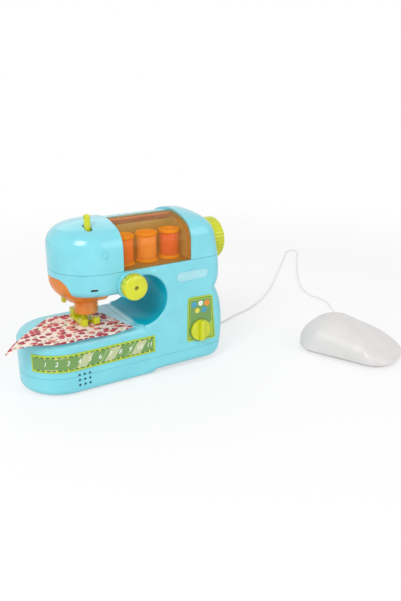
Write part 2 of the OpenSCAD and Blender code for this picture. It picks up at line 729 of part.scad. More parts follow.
module top_cap() color(aqua) difference() {
    union() {
        difference() {
            loft(head_cap_rings(0));
            loft(head_cap_rings(wall));
        }
        difference() {
            loft(column_cap_rings(0));
            loft(column_cap_rings(wall));
        }
        along_x(window_x0 - wall / 2, 0, 0) linear_extrude(window_x1 - window_x0 + wall)
            rotate(90) strip_section();
        block(window_x0 - wall / 2, window_x1 + wall / 2, bay_wall_y, bay_wall_y + bay_wall_t,
            deck_top + gap, hinge_z - knuckle_r - wall);
        for (s = [-1, 1], x = [head_x + wall, head_x + 3 * wall, window_x1 + 2 * wall, window_x1 + 4 * wall])
            cap_rib(x, s);
    }
    block(head_x, body_l, -wall_bush_r - fit, wall_bush_r + fit, seam_z - wall, shaft_z + wall_bush_r + fit);
    block(needle_x - take_up_w / 2 - 2 * gap, needle_x + take_up_w / 2 + 2 * gap, take_up_y - take_up_slot / 2,
        take_up_y + take_up_slot / 2, bracket_z, cap_top + over);
}

// Underside
module base_plate() color(aqua) difference() {
    union() {
        linear_extrude(plate_t) intersection() {
            plate_outline(plate_inset + gap);
            translate([-body_l, -body_d]) square([body_l + step_x - plan_r, 2 * body_d]);
        }
        translate([0, 0, step_h]) linear_extrude(plate_t) difference() {
            plate_outline(plate_inset + gap);
            translate([-body_l, -body_d]) square([body_l + step_x - plan_r - plate_t, 2 * body_d]);
        }
        block(step_x - plan_r - plate_t, step_x - plan_r, plate_inset + gap - half_d, half_d - plate_inset - gap,
            0, step_h + plate_t);
        block(battery_x - box_w / 2 - box_t, battery_x + box_w / 2 + box_t, battery_y - box_l / 2 - box_t,
            battery_y + box_l / 2 + box_t, 0, plate_t + box_h);
    }
    block(battery_x - box_w / 2, battery_x + box_w / 2, battery_y - box_l / 2, battery_y + box_l / 2, -over,
        plate_t + box_h + over);
    block(battery_x - box_w / 2 - door_lip, battery_x + box_w / 2 + door_lip, battery_y - box_l / 2 - door_lip,
        battery_y + box_l / 2 + door_lip, -over, plate_t / 2);
}
module battery_door() color(aqua) difference() {
    union() {
        block(battery_x - box_w / 2 - door_lip + gap, battery_x + box_w / 2 + door_lip - gap,
            battery_y - box_l / 2 - door_lip + gap, battery_y + box_l / 2 + door_lip - gap, gap, plate_t / 2 - press);
        block(battery_x - box_w / 2 + gap, battery_x + box_w / 2 - gap, battery_y - box_l / 2 + gap,
            battery_y + box_l / 2 - gap, gap, plate_t);
    }
    translate([battery_x, battery_y + box_l / 2 - door_lip, -over]) cylinder(h = body_d, r = screw_r + fit);
}
module door_screw() color(steel) translate([battery_x, battery_y + box_l / 2 - door_lip, gap]) {
    cylinder(h = plate_t - gap, r = screw_r);
}
module foot_pads() color(dark) for (s = [-1, 1]) translate([pad_x - pad_r, s * pad_y, 0])
    cylinder(h = step_h, r = pad_r);
module case_screws() color(steel) for (s = post_shares) let (p = post_place(s)) {
    along_y(p[0], part_y + screw_seat + press, p[1]) cylinder(h = screw_head_t, r = screw_head_r, $fn = 24);
    along_y(p[0], part_y - screw_l + over, p[1])
        cylinder(h = screw_l - over + screw_seat + screw_head_t / 2, r = screw_r, $fn = 24);
}
module batteries() color([0.2, 0.35, 0.3]) for (i = [-1:1]) translate([battery_x + i * battery_pitch, 0, battery_z]) {
    along_y(0, battery_y - battery_l / 2, 0) cylinder(h = battery_l - battery_r / 4, r = battery_r);
    along_y(0, battery_y, 0) cylinder(h = battery_l / 2, r = battery_r / 3);
}
module battery_contacts() color(steel) for (s = [-1, 1]) {
    block(battery_x - box_w / 2 + gap, battery_x + box_w / 2 - gap, battery_y + s * (box_l / 2 - 2 * gap) - gap,
        battery_y + s * (box_l / 2 - 2 * gap) + gap, plate_t + gap, plate_t + box_h);
}
module speaker() color(dark) {
    along_y(speaker_x, gap - inner_d, speaker_z) cylinder(h = speaker_t / 3, r = speaker_r);
    along_y(speaker_x, gap - inner_d, speaker_z) cylinder(h = speaker_t, r = speaker_r / 2);
}

// Inner deck with the spool pegs and the guides of the bars
module deck_plate() color(aqua) difference() {
    union() {
        translate([0, 0, deck_z]) linear_extrude(deck_t) {
            translate([head_x, 0]) circle(r = inner_d - gap);
            translate([head_x, gap - inner_d]) square([deck_x1 - head_x, 2 * (inner_d - gap)]);
        }
        for (i = [-1:1]) translate([spool_mid_x + i * spool_pitch, spool_y, deck_z]) cylinder(h = peg_h, r = peg_r);
    }
    for (y = [needle_y, presser_y]) translate([needle_x, y, 0]) cylinder(h = body_l, r = bar_r + fit);
}
module head_bracket() color(steel) difference() {
    union() {
        block(bracket_x - bracket_t, bracket_x, take_up_y - take_up_d, presser_y + collar_r, deck_top,
            bracket_z + bracket_t);
        block(bracket_x - bracket_t, needle_x + 2 * bar_r, needle_y - 2 * bar_r, presser_y + collar_r, bracket_z,
            bracket_z + bracket_t);
    }
    for (y = [needle_y, presser_y]) translate([needle_x, y, 0]) cylinder(h = body_l, r = bar_r + fit);
    along_x(-body_l, take_up_y, take_up_z) cylinder(h = body_l, r = pin_r + press);
}

// Orange chin and needle guard
function chin_ring(s, grow) =
    let (z = mix(chin_low_z, chin_top_z, s[0]) + grow, hw = chin_half * s[3] - grow,
        x0 = mix(chin_x0, chin_x1, s[1]) + grow, x1 = mix(chin_x0, chin_x1, s[2]) - grow)
    at_height(concat([for (i = [0:chin_n]) let (y = hw * (1 - 2 * i / chin_n))
        [x0 + half_d - sqrt(half_d * half_d - y * y), y]], [[x1, -hw], [x1, hw]]), z);
module light_cover() color(orange) difference() {
    loft([for (s = chin_shares) chin_ring(s, 0)]);
    loft([for (s = chin_inner_shares) chin_ring(s, chin_t)]);
    translate([needle_x, guard_y, 0]) cylinder(h = head_under_z, r = guard_r + fit);
    block(-right_x, lifter_x - lifter_reach + 3 * lifter_half, lifter_y0 - gap, lifter_y0 + lifter_t + gap,
        bed_h, lifter_z + 3 * lifter_half);
}
module needle_guard() color(orange) translate([needle_x, guard_y, 0]) rotate_extrude()
    polygon([[guard_r - guard_t, guard_low_z], [guard_r, guard_low_z], [guard_r, guard_seat_z],
        [guard_r + guard_flange, guard_seat_z], [guard_r + guard_flange, guard_seat_z + guard_flange_t],
        [guard_r - guard_t, guard_seat_z + guard_flange_t]]);
module lamp() color(white) translate([bracket_x - 3 * lamp_r, needle_y, deck_z - gap - lamp_l]) {
    translate([0, 0, lamp_l - lamp_r]) cylinder(h = lamp_r, r = 2 * lamp_r);
    cylinder(h = lamp_l, r = lamp_r);
    sphere(r = lamp_r);
}

// Needle bar with its slotted yoke, and the crank that drives it
module needle_bar() color(steel) {
    difference() {
        union() {
            translate([needle_x, needle_y, needle_bar_low])
                cylinder(h = needle_bar_top - needle_bar_low, r = bar_r);
            block(needle_x, yoke_x, needle_y - bar_r, needle_y + bar_r, yoke_z - bar_r, yoke_z + bar_r);
            block(yoke_x - yoke_t, yoke_x, needle_y - bar_r, crank_r + crank_pin_r + yoke_rim + fit,
                yoke_z - crank_pin_r - yoke_rim, yoke_z + crank_pin_r + yoke_rim);
        }
        block(yoke_x - 2 * yoke_t, yoke_x + over, -crank_r - crank_pin_r - fit, crank_r + crank_pin_r + fit,
            yoke_z - crank_pin_r - fit, yoke_z + crank_pin_r + fit);
    }
}
module needle() color(steel) translate([needle_x, needle_y, needle_tip_z]) {
    translate([0, 0, needle_r]) cylinder(h = needle_bar_low - needle_tip_z - needle_r, r = needle_r);
    translate([0, 0, needle_r]) sphere(r = needle_r);
}
module crank_disc() color(steel) difference() {
    union() {
        along_x(crank_x - crank_disc_t, 0, shaft_z) cylinder(h = crank_disc_t, r = crank_disc_r);
        along_x(crank_x - crank_disc_t - crank_pin_l, 0, yoke_z) cylinder(h = crank_pin_l + crank_disc_t, r = crank_pin_r);
    }
    along_x(crank_x - crank_disc_t / 2, 0, shaft_z) cylinder(h = crank_disc_t, r = shaft_r + press);
}
module take_up_lever() color(lime) difference() {
    block(needle_x - take_up_w / 2, needle_x + take_up_w / 2, take_up_y - take_up_d / 2, take_up_y + take_up_d / 2,
        take_up_z - take_up_d / 2, take_up_top);
    along_x(-body_l, take_up_y, take_up_z) cylinder(h = body_l, r = pin_r + 0.05);
}
module take_up_pin() color(steel) along_x(bracket_x - bracket_t, take_up_y, take_up_z)
    cylinder(h = needle_x + take_up_w - bracket_x + bracket_t, r = pin_r);

// Presser bar, foot, spring and lifter
module presser_bar() color(steel) {
    translate([needle_x, presser_y, foot_z + foot_t]) cylinder(h = presser_top - foot_z - foot_t, r = bar_r);
    translate([needle_x, presser_y, collar_z]) cylinder(h = collar_t, r = collar_r);
    block(needle_x - lug_w / 2, needle_x + lug_w / 2, presser_y, lifter_y0 + lifter_t, lug_z, lug_z + lug_t);
}
module presser_foot() color(lime) difference() {
    union() {
        block(needle_x - foot_w / 2, needle_x + foot_w / 2, foot_front + toe_l / 2, foot_front + foot_l, foot_z,
            foot_z + foot_t);
        for (s = [-1, 1]) translate([needle_x + s * (foot_w - toe_w) / 2, 0, 0])
            block(-toe_w / 2, toe_w / 2, foot_front, foot_front + toe_l, foot_z, foot_z + toe_h);
        block(needle_x - foot_w / 2, needle_x + foot_w / 2, foot_front + foot_l - foot_block_l, foot_front + foot_l,
            foot_z, foot_z + foot_block_h);
        translate([needle_x, presser_y, foot_z]) cylinder(h = foot_block_h, r = 2 * bar_r);
    }
    block(needle_x - foot_w / 2 + toe_w, needle_x + foot_w / 2 - toe_w, foot_front - over, foot_front + 1.5 * toe_l,
        foot_z - over, foot_z + body_d);
    translate([needle_x, presser_y, foot_z + foot_t]) cylinder(h = body_d, r = bar_r + press);
    block(needle_x - foot_w / 4, needle_x + foot_w / 4, foot_front + foot_l - foot_block_l - over,
        foot_front + foot_l + over, foot_z + 2 * foot_t, foot_z + body_d);
}
module coil(h, r, curls) loft(tube_rings(helix_points(r, (h - spring_wire) / curls, curls, 8), spring_wire / 2, 6));
module presser_spring() color(steel)
    translate([needle_x, presser_y, collar_z + collar_t + gap + spring_wire / 2])
        coil(bracket_z - collar_z - collar_t - 2 * gap, bar_r + spring_wire, spring_curls);
module lifter_lever() color(lime) difference() {
    union() {
        block(lifter_x - lifter_reach, lifter_x, lifter_y0, lifter_y0 + lifter_t, lifter_z - lifter_half,
            lifter_z + lifter_half);
        block(lifter_x - lifter_reach - lifter_half, lifter_x - lifter_reach + lifter_half, lifter_y0,
            lifter_y0 + lifter_t, lifter_tip_z, lifter_z + lifter_half);
        along_y(lifter_x, lifter_y0, lifter_z) cylinder(h = lifter_t, r = 1.6 * lifter_half);
    }
    along_y(lifter_x, -body_d, lifter_z) cylinder(h = 2 * body_d, r = pin_r + 0.05);
}
module lifter_pin() color(steel) along_y(lifter_x, lifter_y0 - lifter_half, lifter_z)
    cylinder(h = inner_d - 2 * wall - lifter_y0 + lifter_half, r = pin_r);

// Drive train
module handwheel() color(lime) difference() {
    union() {
        along_x(wheel_x0, 0, shaft_z) rotate_extrude() polygon([[0, wheel_w * 0.3], [hub_r, wheel_w * 0.3],
            [hub_r, 0], [wheel_r - wheel_w * 0.12, 0], [wheel_r, wheel_w * 0.12], [wheel_r, wheel_w * 0.82],
            [wheel_r * 0.92, wheel_w], [wheel_r * 0.7, wheel_w], [wheel_r * 0.62, wheel_w * 0.86], [0, wheel_w * 0.86]]);
        along_x(wheel_x0 - wall, 0, shaft_z) cylinder(h = wheel_w / 2, r = hub_r);
    }
    for (i = [0:wheel_grooves - 1]) translate([0, 0, shaft_z]) rotate([360 * i / wheel_grooves, 0, 0])
        along_x(wheel_x0 - over, 0, wheel_r) cylinder(h = 0.82 * wheel_w + over, r = wheel_groove_r, $fn = 16);
    along_x(-body_l, 0, shaft_z) cylinder(h = body_l + wheel_x0 + wheel_w / 2, r = shaft_r + press);
}
module main_shaft() color(steel) along_x(crank_x - crank_disc_t / 2 + press, 0, shaft_z)
    cylinder(h = wheel_x0 + wheel_w / 2 - crank_x + crank_disc_t / 2 - 2 * press, r = shaft_r);
module bush_block(x) difference() {
    block(x, x + bush_w, -bush_half, bush_half, deck_top, shaft_z + shaft_r + bush_rim);
    along_x(x - over, 0, shaft_z) cylinder(h = bush_w + 2 * over, r = shaft_r + 0.05);
}
module shaft_bushes() color(white) {
    bush_block(window_x0 - wall - bush_w - 4 * gap);
    bush_block(window_x1 + wall + 4 * gap);
    along_x(right_x - side_draw, 0, shaft_z) tube(right_x - wheel_w / 2 - right_x + side_draw, wall_bush_r, shaft_r + 0.05);
}
module pulley(x, r, rim, w, hole) along_x(x, 0, 0) rotate_extrude()
    polygon([[hole, 0], [r + rim, 0], [r + rim, (w - belt_w) / 2 - gap], [r, (w - belt_w) / 2 - gap],
        [r, (w + belt_w) / 2 + gap], [r + rim, (w + belt_w) / 2 + gap], [r + rim, w], [hole, w]]);
module shaft_pulley() color(white) translate([0, 0, shaft_z])
    pulley(pulley_x, pulley_r, pulley_rim, pulley_w, shaft_r + press);
module motor_pulley() color(white) translate([0, 0, motor_z]) {
    pulley(pulley_x, motor_pulley_r, pulley_rim, pulley_w, 0);
    along_x(mount_x + gap, 0, 0) cylinder(h = pulley_x + pulley_w / 2 - mount_x - gap, r = motor_shaft_r);
}
module belt_loop(grow) {
    a = asin((pulley_r - motor_pulley_r) / belt_drop);
    polygon(concat(arc(0, shaft_z, pulley_r + grow, -a, 180 + a, end_n),
        arc(0, motor_z, motor_pulley_r + grow, 180 + a, 360 - a, end_n / 2)));
}
module drive_belt() color(dark) translate([pulley_x + (pulley_w - belt_w) / 2, 0, 0]) rotate([90, 0, 90])
    linear_extrude(belt_w) difference() {
        belt_loop(gap + belt_t);
        belt_loop(gap);
    }
module motor() color(steel) translate([0, 0, motor_z]) {
    along_x(mount_x - gap - motor_l, 0, 0) cylinder(h = motor_l, r = motor_r);
    along_x(mount_x - gap - motor_l - over, 0, 0) cylinder(h = motor_l, r = motor_r / 3);
}
module motor_mount() color(white) difference() {
    block(mount_x, mount_x + mount_t, -mount_half, mount_half, motor_z - motor_r - over, deck_z - gap);
    along_x(mount_x - over, 0, motor_z) cylinder(h = mount_t + 2 * over, r = mount_hole_r);
}

// Knob, dial and what stands on the front
module grooves(n, r, groove, h) for (i = [0:n - 1]) rotate(360 * i / n) translate([r, 0, -over])
    cylinder(h = h + over, r = groove, $fn = 16);
module thread_knob() color(lime) to_front(knob_x, -half_d - boss_h - gap, knob_z) difference() {
    rotate_extrude() polygon([[spindle_r + press, 0], [knob_r, 0], [knob_r, knob_w * 0.72],
        [knob_r * 0.93, knob_w * 0.87], [knob_r * 0.7, knob_w * 0.96], [knob_r * 0.4, knob_w], [knob_hole_r, knob_w],
        [knob_hole_r, knob_w * 0.6], [spindle_r + press, knob_w * 0.6]]);
    grooves(knob_grooves, knob_r, knob_groove_r, knob_w * 0.66);
}
module knob_spindle() color(white) along_y(knob_x, -half_d - boss_h - gap - knob_w / 2, knob_z)
    cylinder(h = spindle_l, r = spindle_r);
module selector_dial() color(lime) {
    to_front(dial_x, -half_d - label_t - gap, dial_z) {
        cylinder(h = dial_t, r = dial_r);
        intersection() {
            cylinder(h = dial_t + grip_h, r = dial_r - gap);
            translate([-grip_w / 2, -dial_r, 0]) cube([grip_w, 2 * dial_r, dial_t + grip_h]);
        }
    }
    along_y(dial_x, -half_d - label_t - gap - dial_t / 2, dial_z)
        cylinder(h = wall + label_t + 3 * gap + (switch_t + dial_t) / 2, r = dial_shaft_r);
}
module selector_switch() color(dark) along_y(dial_x, 2 * gap - inner_d, dial_z) difference() {
    cylinder(h = switch_t, r = switch_r);
    translate([0, 0, -over]) cylinder(h = over + switch_t * 0.8, r = dial_shaft_r + fit);
}
module circuit_board() color([0.1, 0.4, 0.25])
    block(dial_x - board_w / 2, dial_x + board_w / 2, 3 * gap - inner_d + switch_t,
        3 * gap - inner_d + switch_t + board_t, dial_z - board_h / 3, dial_z + 2 * board_h / 3);
module panel_plate() color(lime) along_y(dial_x, -half_d - label_t, dial_z) difference() {
    linear_extrude(label_t - press) mirror([0, 1]) polygon([for (s = panel_shares) [s[0] * panel_w, s[1] * panel_h]]);
    translate([0, 0, -over]) cylinder(h = 2 * over, r = dial_shaft_r + gap);
}
module oval_plaque() color(aqua) along_y(plaque_x, -half_d - label_t, plaque_z) linear_extrude(label_t - press) {
    square([plaque_w - plaque_h, plaque_h], center = true);
    for (i = [-1, 1]) translate([i * (plaque_w - plaque_h) / 2, 0]) circle(r = plaque_h / 2);
}
function label_arc(r, a0, a1) = arc(end_x, 0, r, a0, a1, round(label_wrap * end_n / 180));
module ruler_label() color([0.66, 0.78, 0.25]) translate([0, 0, label_z0]) linear_extrude(label_z1 - label_z0)
    polygon(concat(label_arc(half_d + label_t, 270 - label_wrap, 270),
        [[label_x1, -half_d - label_t], [label_x1, -half_d - press]], label_arc(half_d + press, 270, 270 - label_wrap)));
module machine_gland() color(white) along_x(right_x - side_draw + wall, gland_y, gland_z) rotate_extrude()
    polygon([[0, 0], [gland_r, 0], [gland_r, side_draw], [gland_tip_r, gland_x1 - right_x + side_draw - wall],
        [0, gland_x1 - right_x + side_draw - wall]]);

// Window over the spools
function window_line(grow) =
    let (s = section_points(window_z0, crown_h - grow))
    concat([for (p = s) [-p[0] + grow, p[1]]], [[hinge_y + knuckle_r * 0.6, crown_h - grow]]);
module window_cover() color(orange) {
    outer = window_line(0);
    inner = window_line(window_t);
    along_x(window_x0 + window_gap, 0, 0) difference() {
        rotate(90) union() {
            linear_extrude(window_x1 - window_x0 - 2 * window_gap) polygon(concat(outer,
                [for (i = [len(inner) - 1:-1:0]) inner[i]]));
            translate([hinge_y, hinge_z, 0]) cylinder(h = window_x1 - window_x0 - 2 * window_gap, r = knuckle_r);
        }
        rotate(90) translate([hinge_y, hinge_z, -over])
            cylinder(h = body_l, r = window_pin_r + 0.05);
    }
}
module window_pin() color(steel) along_x(window_x0 + window_gap / 2, hinge_y, hinge_z)
    cylinder(h = window_x1 - window_x0 - window_gap, r = window_pin_r);

// Spools and their thread
module spool(i) color(spool_orange) translate([spool_mid_x + i * spool_pitch, spool_y, spool_z]) rotate_extrude()
    polygon([[peg_r + fit, 0], [spool_r, 0], [spool_r, flange_t * 0.7], [spool_r * 0.92, flange_t], [barrel_r, flange_t],
        [barrel_r, spool_h - flange_t], [spool_r * 0.92, spool_h - flange_t], [spool_r, spool_h - flange_t * 0.7],
        [spool_r, spool_h - flange_t * 0.2], [spool_r * 0.95, spool_h], [peg_r + fit, spool_h]]);
winding_line = with_ends(helix_points(winding_r, winding_pitch, thread_loops, loop_n), thread_d);
winding_gap = min([for (i = [0:loop_n - 1], j = [loop_n - 3:loop_n + 3])
    norm(winding_line[i + j + 1] - winding_line[i + 1])]) - thread_d;
echo("Least gap between the loops of thread in millimetres", winding_gap);
module winding(i) translate([spool_mid_x + i * spool_pitch, spool_y, spool_z + flange_t]) {
    translate([0, 0, gap]) tube(winding_h - 2 * gap, winding_core_r, barrel_r + press);
    translate([0, 0, gap + thread_d / 2]) loft(tube_rings(winding_line, thread_d / 2, loop_sides));
}
module spool_left() spool(-1);
module spool_middle() spool(0);
module spool_right() spool(1);
module thread_left() color([1, 0.43, 0.24]) winding(-1);
module thread_middle() color([1, 0.75, 0.45]) winding(0);
module thread_right() color([0.84, 0.2, 0.25]) winding(1);

// Pedal, in its own frame: u along it towards the toe, v across it
module at_pedal() translate([pedal_x, pedal_y, 0]) rotate(pedal_turn) children();
function pedal_place(u, v, z) = [pedal_x + u * cos(pedal_turn) - v * sin(pedal_turn),
    pedal_y + u * sin(pedal_turn) + v * cos(pedal_turn), z];
function pedal_outline(grow) = let (l = pedal_l / 2 - grow, w = pedal_w / 2 - grow, r = pedal_corner - grow)
    concat(arc(l - r, w - r, r, 0, 90, corner_n), arc(r - l, w - r, r, 90, 180, corner_n),
        arc(r - l, r - w, r, 180, 270, corner_n), arc(l - r, r - w, r, 270, 360, corner_n));
function pedal_ridge(u) = let (t = (pedal_l / 2 - u) / pedal_l)
    pedal_toe_h + (pedal_h - pedal_toe_h) * sin(90 * min(1, 1.25 * t));
function pedal_ring(s, grow) = let (k = pow(max(0, 1 - pow(s, pedal_full)), 1 / pedal_full))
    [for (p = pedal_outline(grow)) [p[0] * k, p[1] * k, pedal_skirt_z + s * (pedal_ridge(p[0] * k) - grow - pedal_skirt_z)]];
module pedal_dome(grow) loft(concat(
    grow > pedal_wall / 2 ? [[for (p = pedal_ring(0, grow)) [p[0], p[1], p[2] - over]]] : [],
    [for (i = [0:pedal_rings]) pedal_ring(sin(86 * i / pedal_rings), grow)]));
module pedal_top() color(white) at_pedal() difference() {
    union() {
        difference() {
            pedal_dome(0);
            pedal_dome(pedal_wall);
        }
        intersection() {
            union() {
                for (s = [-1, 1]) translate([pedal_pin_u, s * pedal_ear_v, 0]) {
                    block(-pedal_ear_t, pedal_ear_t, -pedal_ear_t / 2, pedal_ear_t / 2, pedal_pin_z, pedal_h);
                    along_y(0, -pedal_ear_t / 2, pedal_pin_z) cylinder(h = pedal_ear_t, r = pedal_ear_t);
                }
                translate([pedal_spring_u, 0, pedal_post_z]) cylinder(h = pedal_h, r = pedal_spring_r + spring_wire);
            }
            pedal_dome(pedal_wall / 2);
        }
    }
    along_y(pedal_pin_u, -pedal_ear_v - pedal_ear_t, pedal_pin_z)
        cylinder(h = 2 * (pedal_ear_v + pedal_ear_t), r = pedal_pin_r + 0.05);
    block(pedal_gland_u - 2 * pedal_gland_r, pedal_gland_u + 2 * pedal_gland_r, pedal_w / 2 - 4 * pedal_wall, pedal_w,
        0, pedal_gland_z + 3 * pedal_gland_r);
}
module pedal_base() color(white) at_pedal() difference() {
    union() {
        translate([0, 0, pedal_floor]) linear_extrude(pedal_base_h)
            rounded(pedal_l - 2 * pedal_inset, pedal_w - 2 * pedal_inset, pedal_corner - pedal_inset);
        for (s = [-1, 1]) translate([pedal_pin_u, s * (pedal_ear_v - pedal_ear_t - gap), 0]) {
            block(-pedal_ear_t, pedal_ear_t, -pedal_ear_t / 2, pedal_ear_t / 2, pedal_floor, pedal_pin_z);
            along_y(0, -pedal_ear_t / 2, pedal_pin_z) cylinder(h = pedal_ear_t, r = pedal_ear_t * 0.9);
        }
    }
    along_y(pedal_pin_u, -pedal_w, pedal_pin_z) cylinder(h = 2 * pedal_w, r = pedal_pin_r + press);
    along_y(pedal_gland_u, 0, pedal_gland_z) cylinder(h = pedal_w, r = pedal_gland_r + press);
    for (s = [-1, 1]) block(pedal_pin_u - pedal_ear_t - gap, pedal_pin_u + pedal_ear_t + gap,
        s * pedal_ear_v - pedal_ear_t / 2 - gap, s * pedal_ear_v + pedal_ear_t / 2 + gap,
        pedal_pin_z - pedal_ear_t - 2 * gap, pedal_h);
}
module pedal_pin() color(steel) at_pedal() along_y(pedal_pin_u, -pedal_ear_v - pedal_ear_t / 2, pedal_pin_z)
    cylinder(h = 2 * pedal_ear_v + pedal_ear_t, r = pedal_pin_r);
module pedal_spring() color(steel) at_pedal()
    translate([pedal_spring_u, 0, pedal_floor + pedal_base_h + gap + spring_wire / 2])
        coil(pedal_post_z - pedal_floor - pedal_base_h - 2 * gap, pedal_spring_r, spring_curls);
module pedal_switch() color(dark) at_pedal() {
    block(-pedal_gland_r * 3, pedal_gland_r * 3, -pedal_gland_r * 2, pedal_gland_r * 2, pedal_floor + pedal_base_h,
        pedal_floor + 2 * pedal_base_h);
    translate([0, 0, pedal_floor + 2 * pedal_base_h]) cylinder(h = pedal_gland_r, r = pedal_gland_r / 2);
}
module pedal_feet() color(dark) at_pedal() for (su = [-1, 1], sv = [-1, 1])
    translate([su * (pedal_l / 2 - pedal_corner / 2 - pedal_pad_r), sv * (pedal_w / 2 - 3 * pedal_pad_r), 0])
        cylinder(h = pedal_floor, r = pedal_pad_r);
module pedal_gland() color(white) at_pedal()
    along_y(pedal_gland_u, pedal_w / 2 - pedal_inset - pedal_gland_l / 2, pedal_gland_z) rotate_extrude()
        polygon([[0, 0], [pedal_gland_r, 0], [pedal_gland_r, pedal_gland_l / 2],
            [cord_r + gap, pedal_gland_l * 1.5], [0, pedal_gland_l * 1.5]]);

// Cord between the two glands
pedal_gland_end = pedal_w / 2 - pedal_inset + pedal_gland_l;
cord_line = even_points(fine_curve(concat([[gland_x1 + press, gland_y, gland_z]],
    [[gland_x1 + 2 * cord_d, gland_y, gland_z]], cord_route,
    [pedal_place(pedal_gland_u, pedal_gland_end + 2 * cord_d, pedal_gland_z)],
    [pedal_place(pedal_gland_u, pedal_gland_end + gap, pedal_gland_z)]), 8), cord_rings);
cord_length = run_sums(cord_line)[cord_rings - 1];
echo("Cord length in millimetres", cord_length);
module cord() color(white) loft(tube_rings(cord_line, cord_r, cord_sides));

// Cloth: a thin closed sheet between four corners, with a bulged front edge and waves towards it
function cloth_corner(i) = [cloth_shares[i][0] * body_l, cloth_shares[i][1] * half_d];
function cloth_point(s, t) =
    let (front = mix(cloth_corner(0), cloth_corner(1), s), back = mix(cloth_corner(3), cloth_corner(2), s),
        p = mix(front, back, t), free = pow(1 - t, 2),
        y = p[1] - cloth_bulge * sin(180 * s) * free + cloth_bulge * 0.4 * sin(180 * s) * t,
        wave = cloth_wave * (0.5 - 0.5 * cos(360 * 2.5 * s)) * pow(free, 3),
        droop = -4 * cloth_wave * pow(max(0, 0.16 - s) / 0.16, 2) * pow(1 - t, 6))
    [p[0], y, cloth_z + wave + droop];
function cloth_id(i, j, low) = (low * (cloth_n + 1) + i) * (cloth_m + 1) + j;
module fabric_piece() color([0.92, 0.78, 0.76]) {
    top = [for (i = [0:cloth_n], j = [0:cloth_m]) cloth_point(i / cloth_n, j / cloth_m) + [0, 0, cloth_t]];
    low = [for (i = [0:cloth_n], j = [0:cloth_m]) cloth_point(i / cloth_n, j / cloth_m)];
    cells = [for (i = [0:cloth_n - 1], j = [0:cloth_m - 1]) [i, j]];
    edge_x = [for (i = [0:cloth_n - 1]) i];
    edge_y = [for (j = [0:cloth_m - 1]) j];
    polyhedron(points = concat(top, low), faces = concat(
        [for (c = cells) [cloth_id(c[0], c[1], 0), cloth_id(c[0], c[1] + 1, 0), cloth_id(c[0] + 1, c[1] + 1, 0)]],
        [for (c = cells) [cloth_id(c[0], c[1], 0), cloth_id(c[0] + 1, c[1] + 1, 0), cloth_id(c[0] + 1, c[1], 0)]],
        [for (c = cells) [cloth_id(c[0], c[1], 1), cloth_id(c[0] + 1, c[1], 1), cloth_id(c[0] + 1, c[1] + 1, 1)]],
        [for (c = cells) [cloth_id(c[0], c[1], 1), cloth_id(c[0] + 1, c[1] + 1, 1), cloth_id(c[0], c[1] + 1, 1)]],
        [for (i = edge_x) [cloth_id(i, 0, 0), cloth_id(i + 1, 0, 0), cloth_id(i + 1, 0, 1)]],
        [for (i = edge_x) [cloth_id(i, 0, 0), cloth_id(i + 1, 0, 1), cloth_id(i, 0, 1)]],
        [for (i = edge_x) [cloth_id(i + 1, cloth_m, 0), cloth_id(i, cloth_m, 0), cloth_id(i, cloth_m, 1)]],
        [for (i = edge_x) [cloth_id(i + 1, cloth_m, 0), cloth_id(i, cloth_m, 1), cloth_id(i + 1, cloth_m, 1)]],
        [for (j = edge_y) [cloth_id(0, j + 1, 0), cloth_id(0, j, 0), cloth_id(0, j, 1)]],
        [for (j = edge_y) [cloth_id(0, j + 1, 0), cloth_id(0, j, 1), cloth_id(0, j + 1, 1)]],
        [for (j = edge_y) [cloth_id(cloth_n, j, 0), cloth_id(cloth_n, j + 1, 0), cloth_id(cloth_n, j + 1, 1)]],
        [for (j = edge_y) [cloth_id(cloth_n, j, 0), cloth_id(cloth_n, j + 1, 1), cloth_id(cloth_n, j, 1)]]));
}

front_shell();
rear_shell();
top_cap();
base_plate();
battery_door();
door_screw();
foot_pads();
case_screws();
deck_plate();
light_cover();
needle_guard();
lamp();
head_bracket();
needle_bar();
needle();
take_up_lever();
take_up_pin();
presser_bar();
presser_foot();
presser_spring();
lifter_lever();
lifter_pin();
handwheel();
main_shaft();
shaft_bushes();
shaft_pulley();
drive_belt();
motor_pulley();
motor();
motor_mount();
crank_disc();
thread_knob();
knob_spindle();
selector_dial();
selector_switch();
panel_plate();
ruler_label();
oval_plaque();
circuit_board();
speaker();
batteries();
battery_contacts();
window_cover();
window_pin();
spool_left();
spool_middle();
spool_right();
thread_left();
thread_middle();
thread_right();
machine_gland();
cord();
pedal_gland();
pedal_base();
pedal_top();
pedal_pin();
pedal_spring();
pedal_switch();
pedal_feet();
fabric_piece();
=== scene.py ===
"""Looks of a toy sewing machine with a foot pedal and a piece of cloth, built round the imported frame.

Builders work in millimetres in the row's frame (+X along the arm, +Y back, +Z up) and hand each mesh over
in metres. Sizes repeat the part's source, which this script can't read.
"""

import logging
import math
from dataclasses import dataclass
from enum import Enum
from typing import Sequence

import bmesh
import bpy
from mathutils import Matrix, Vector

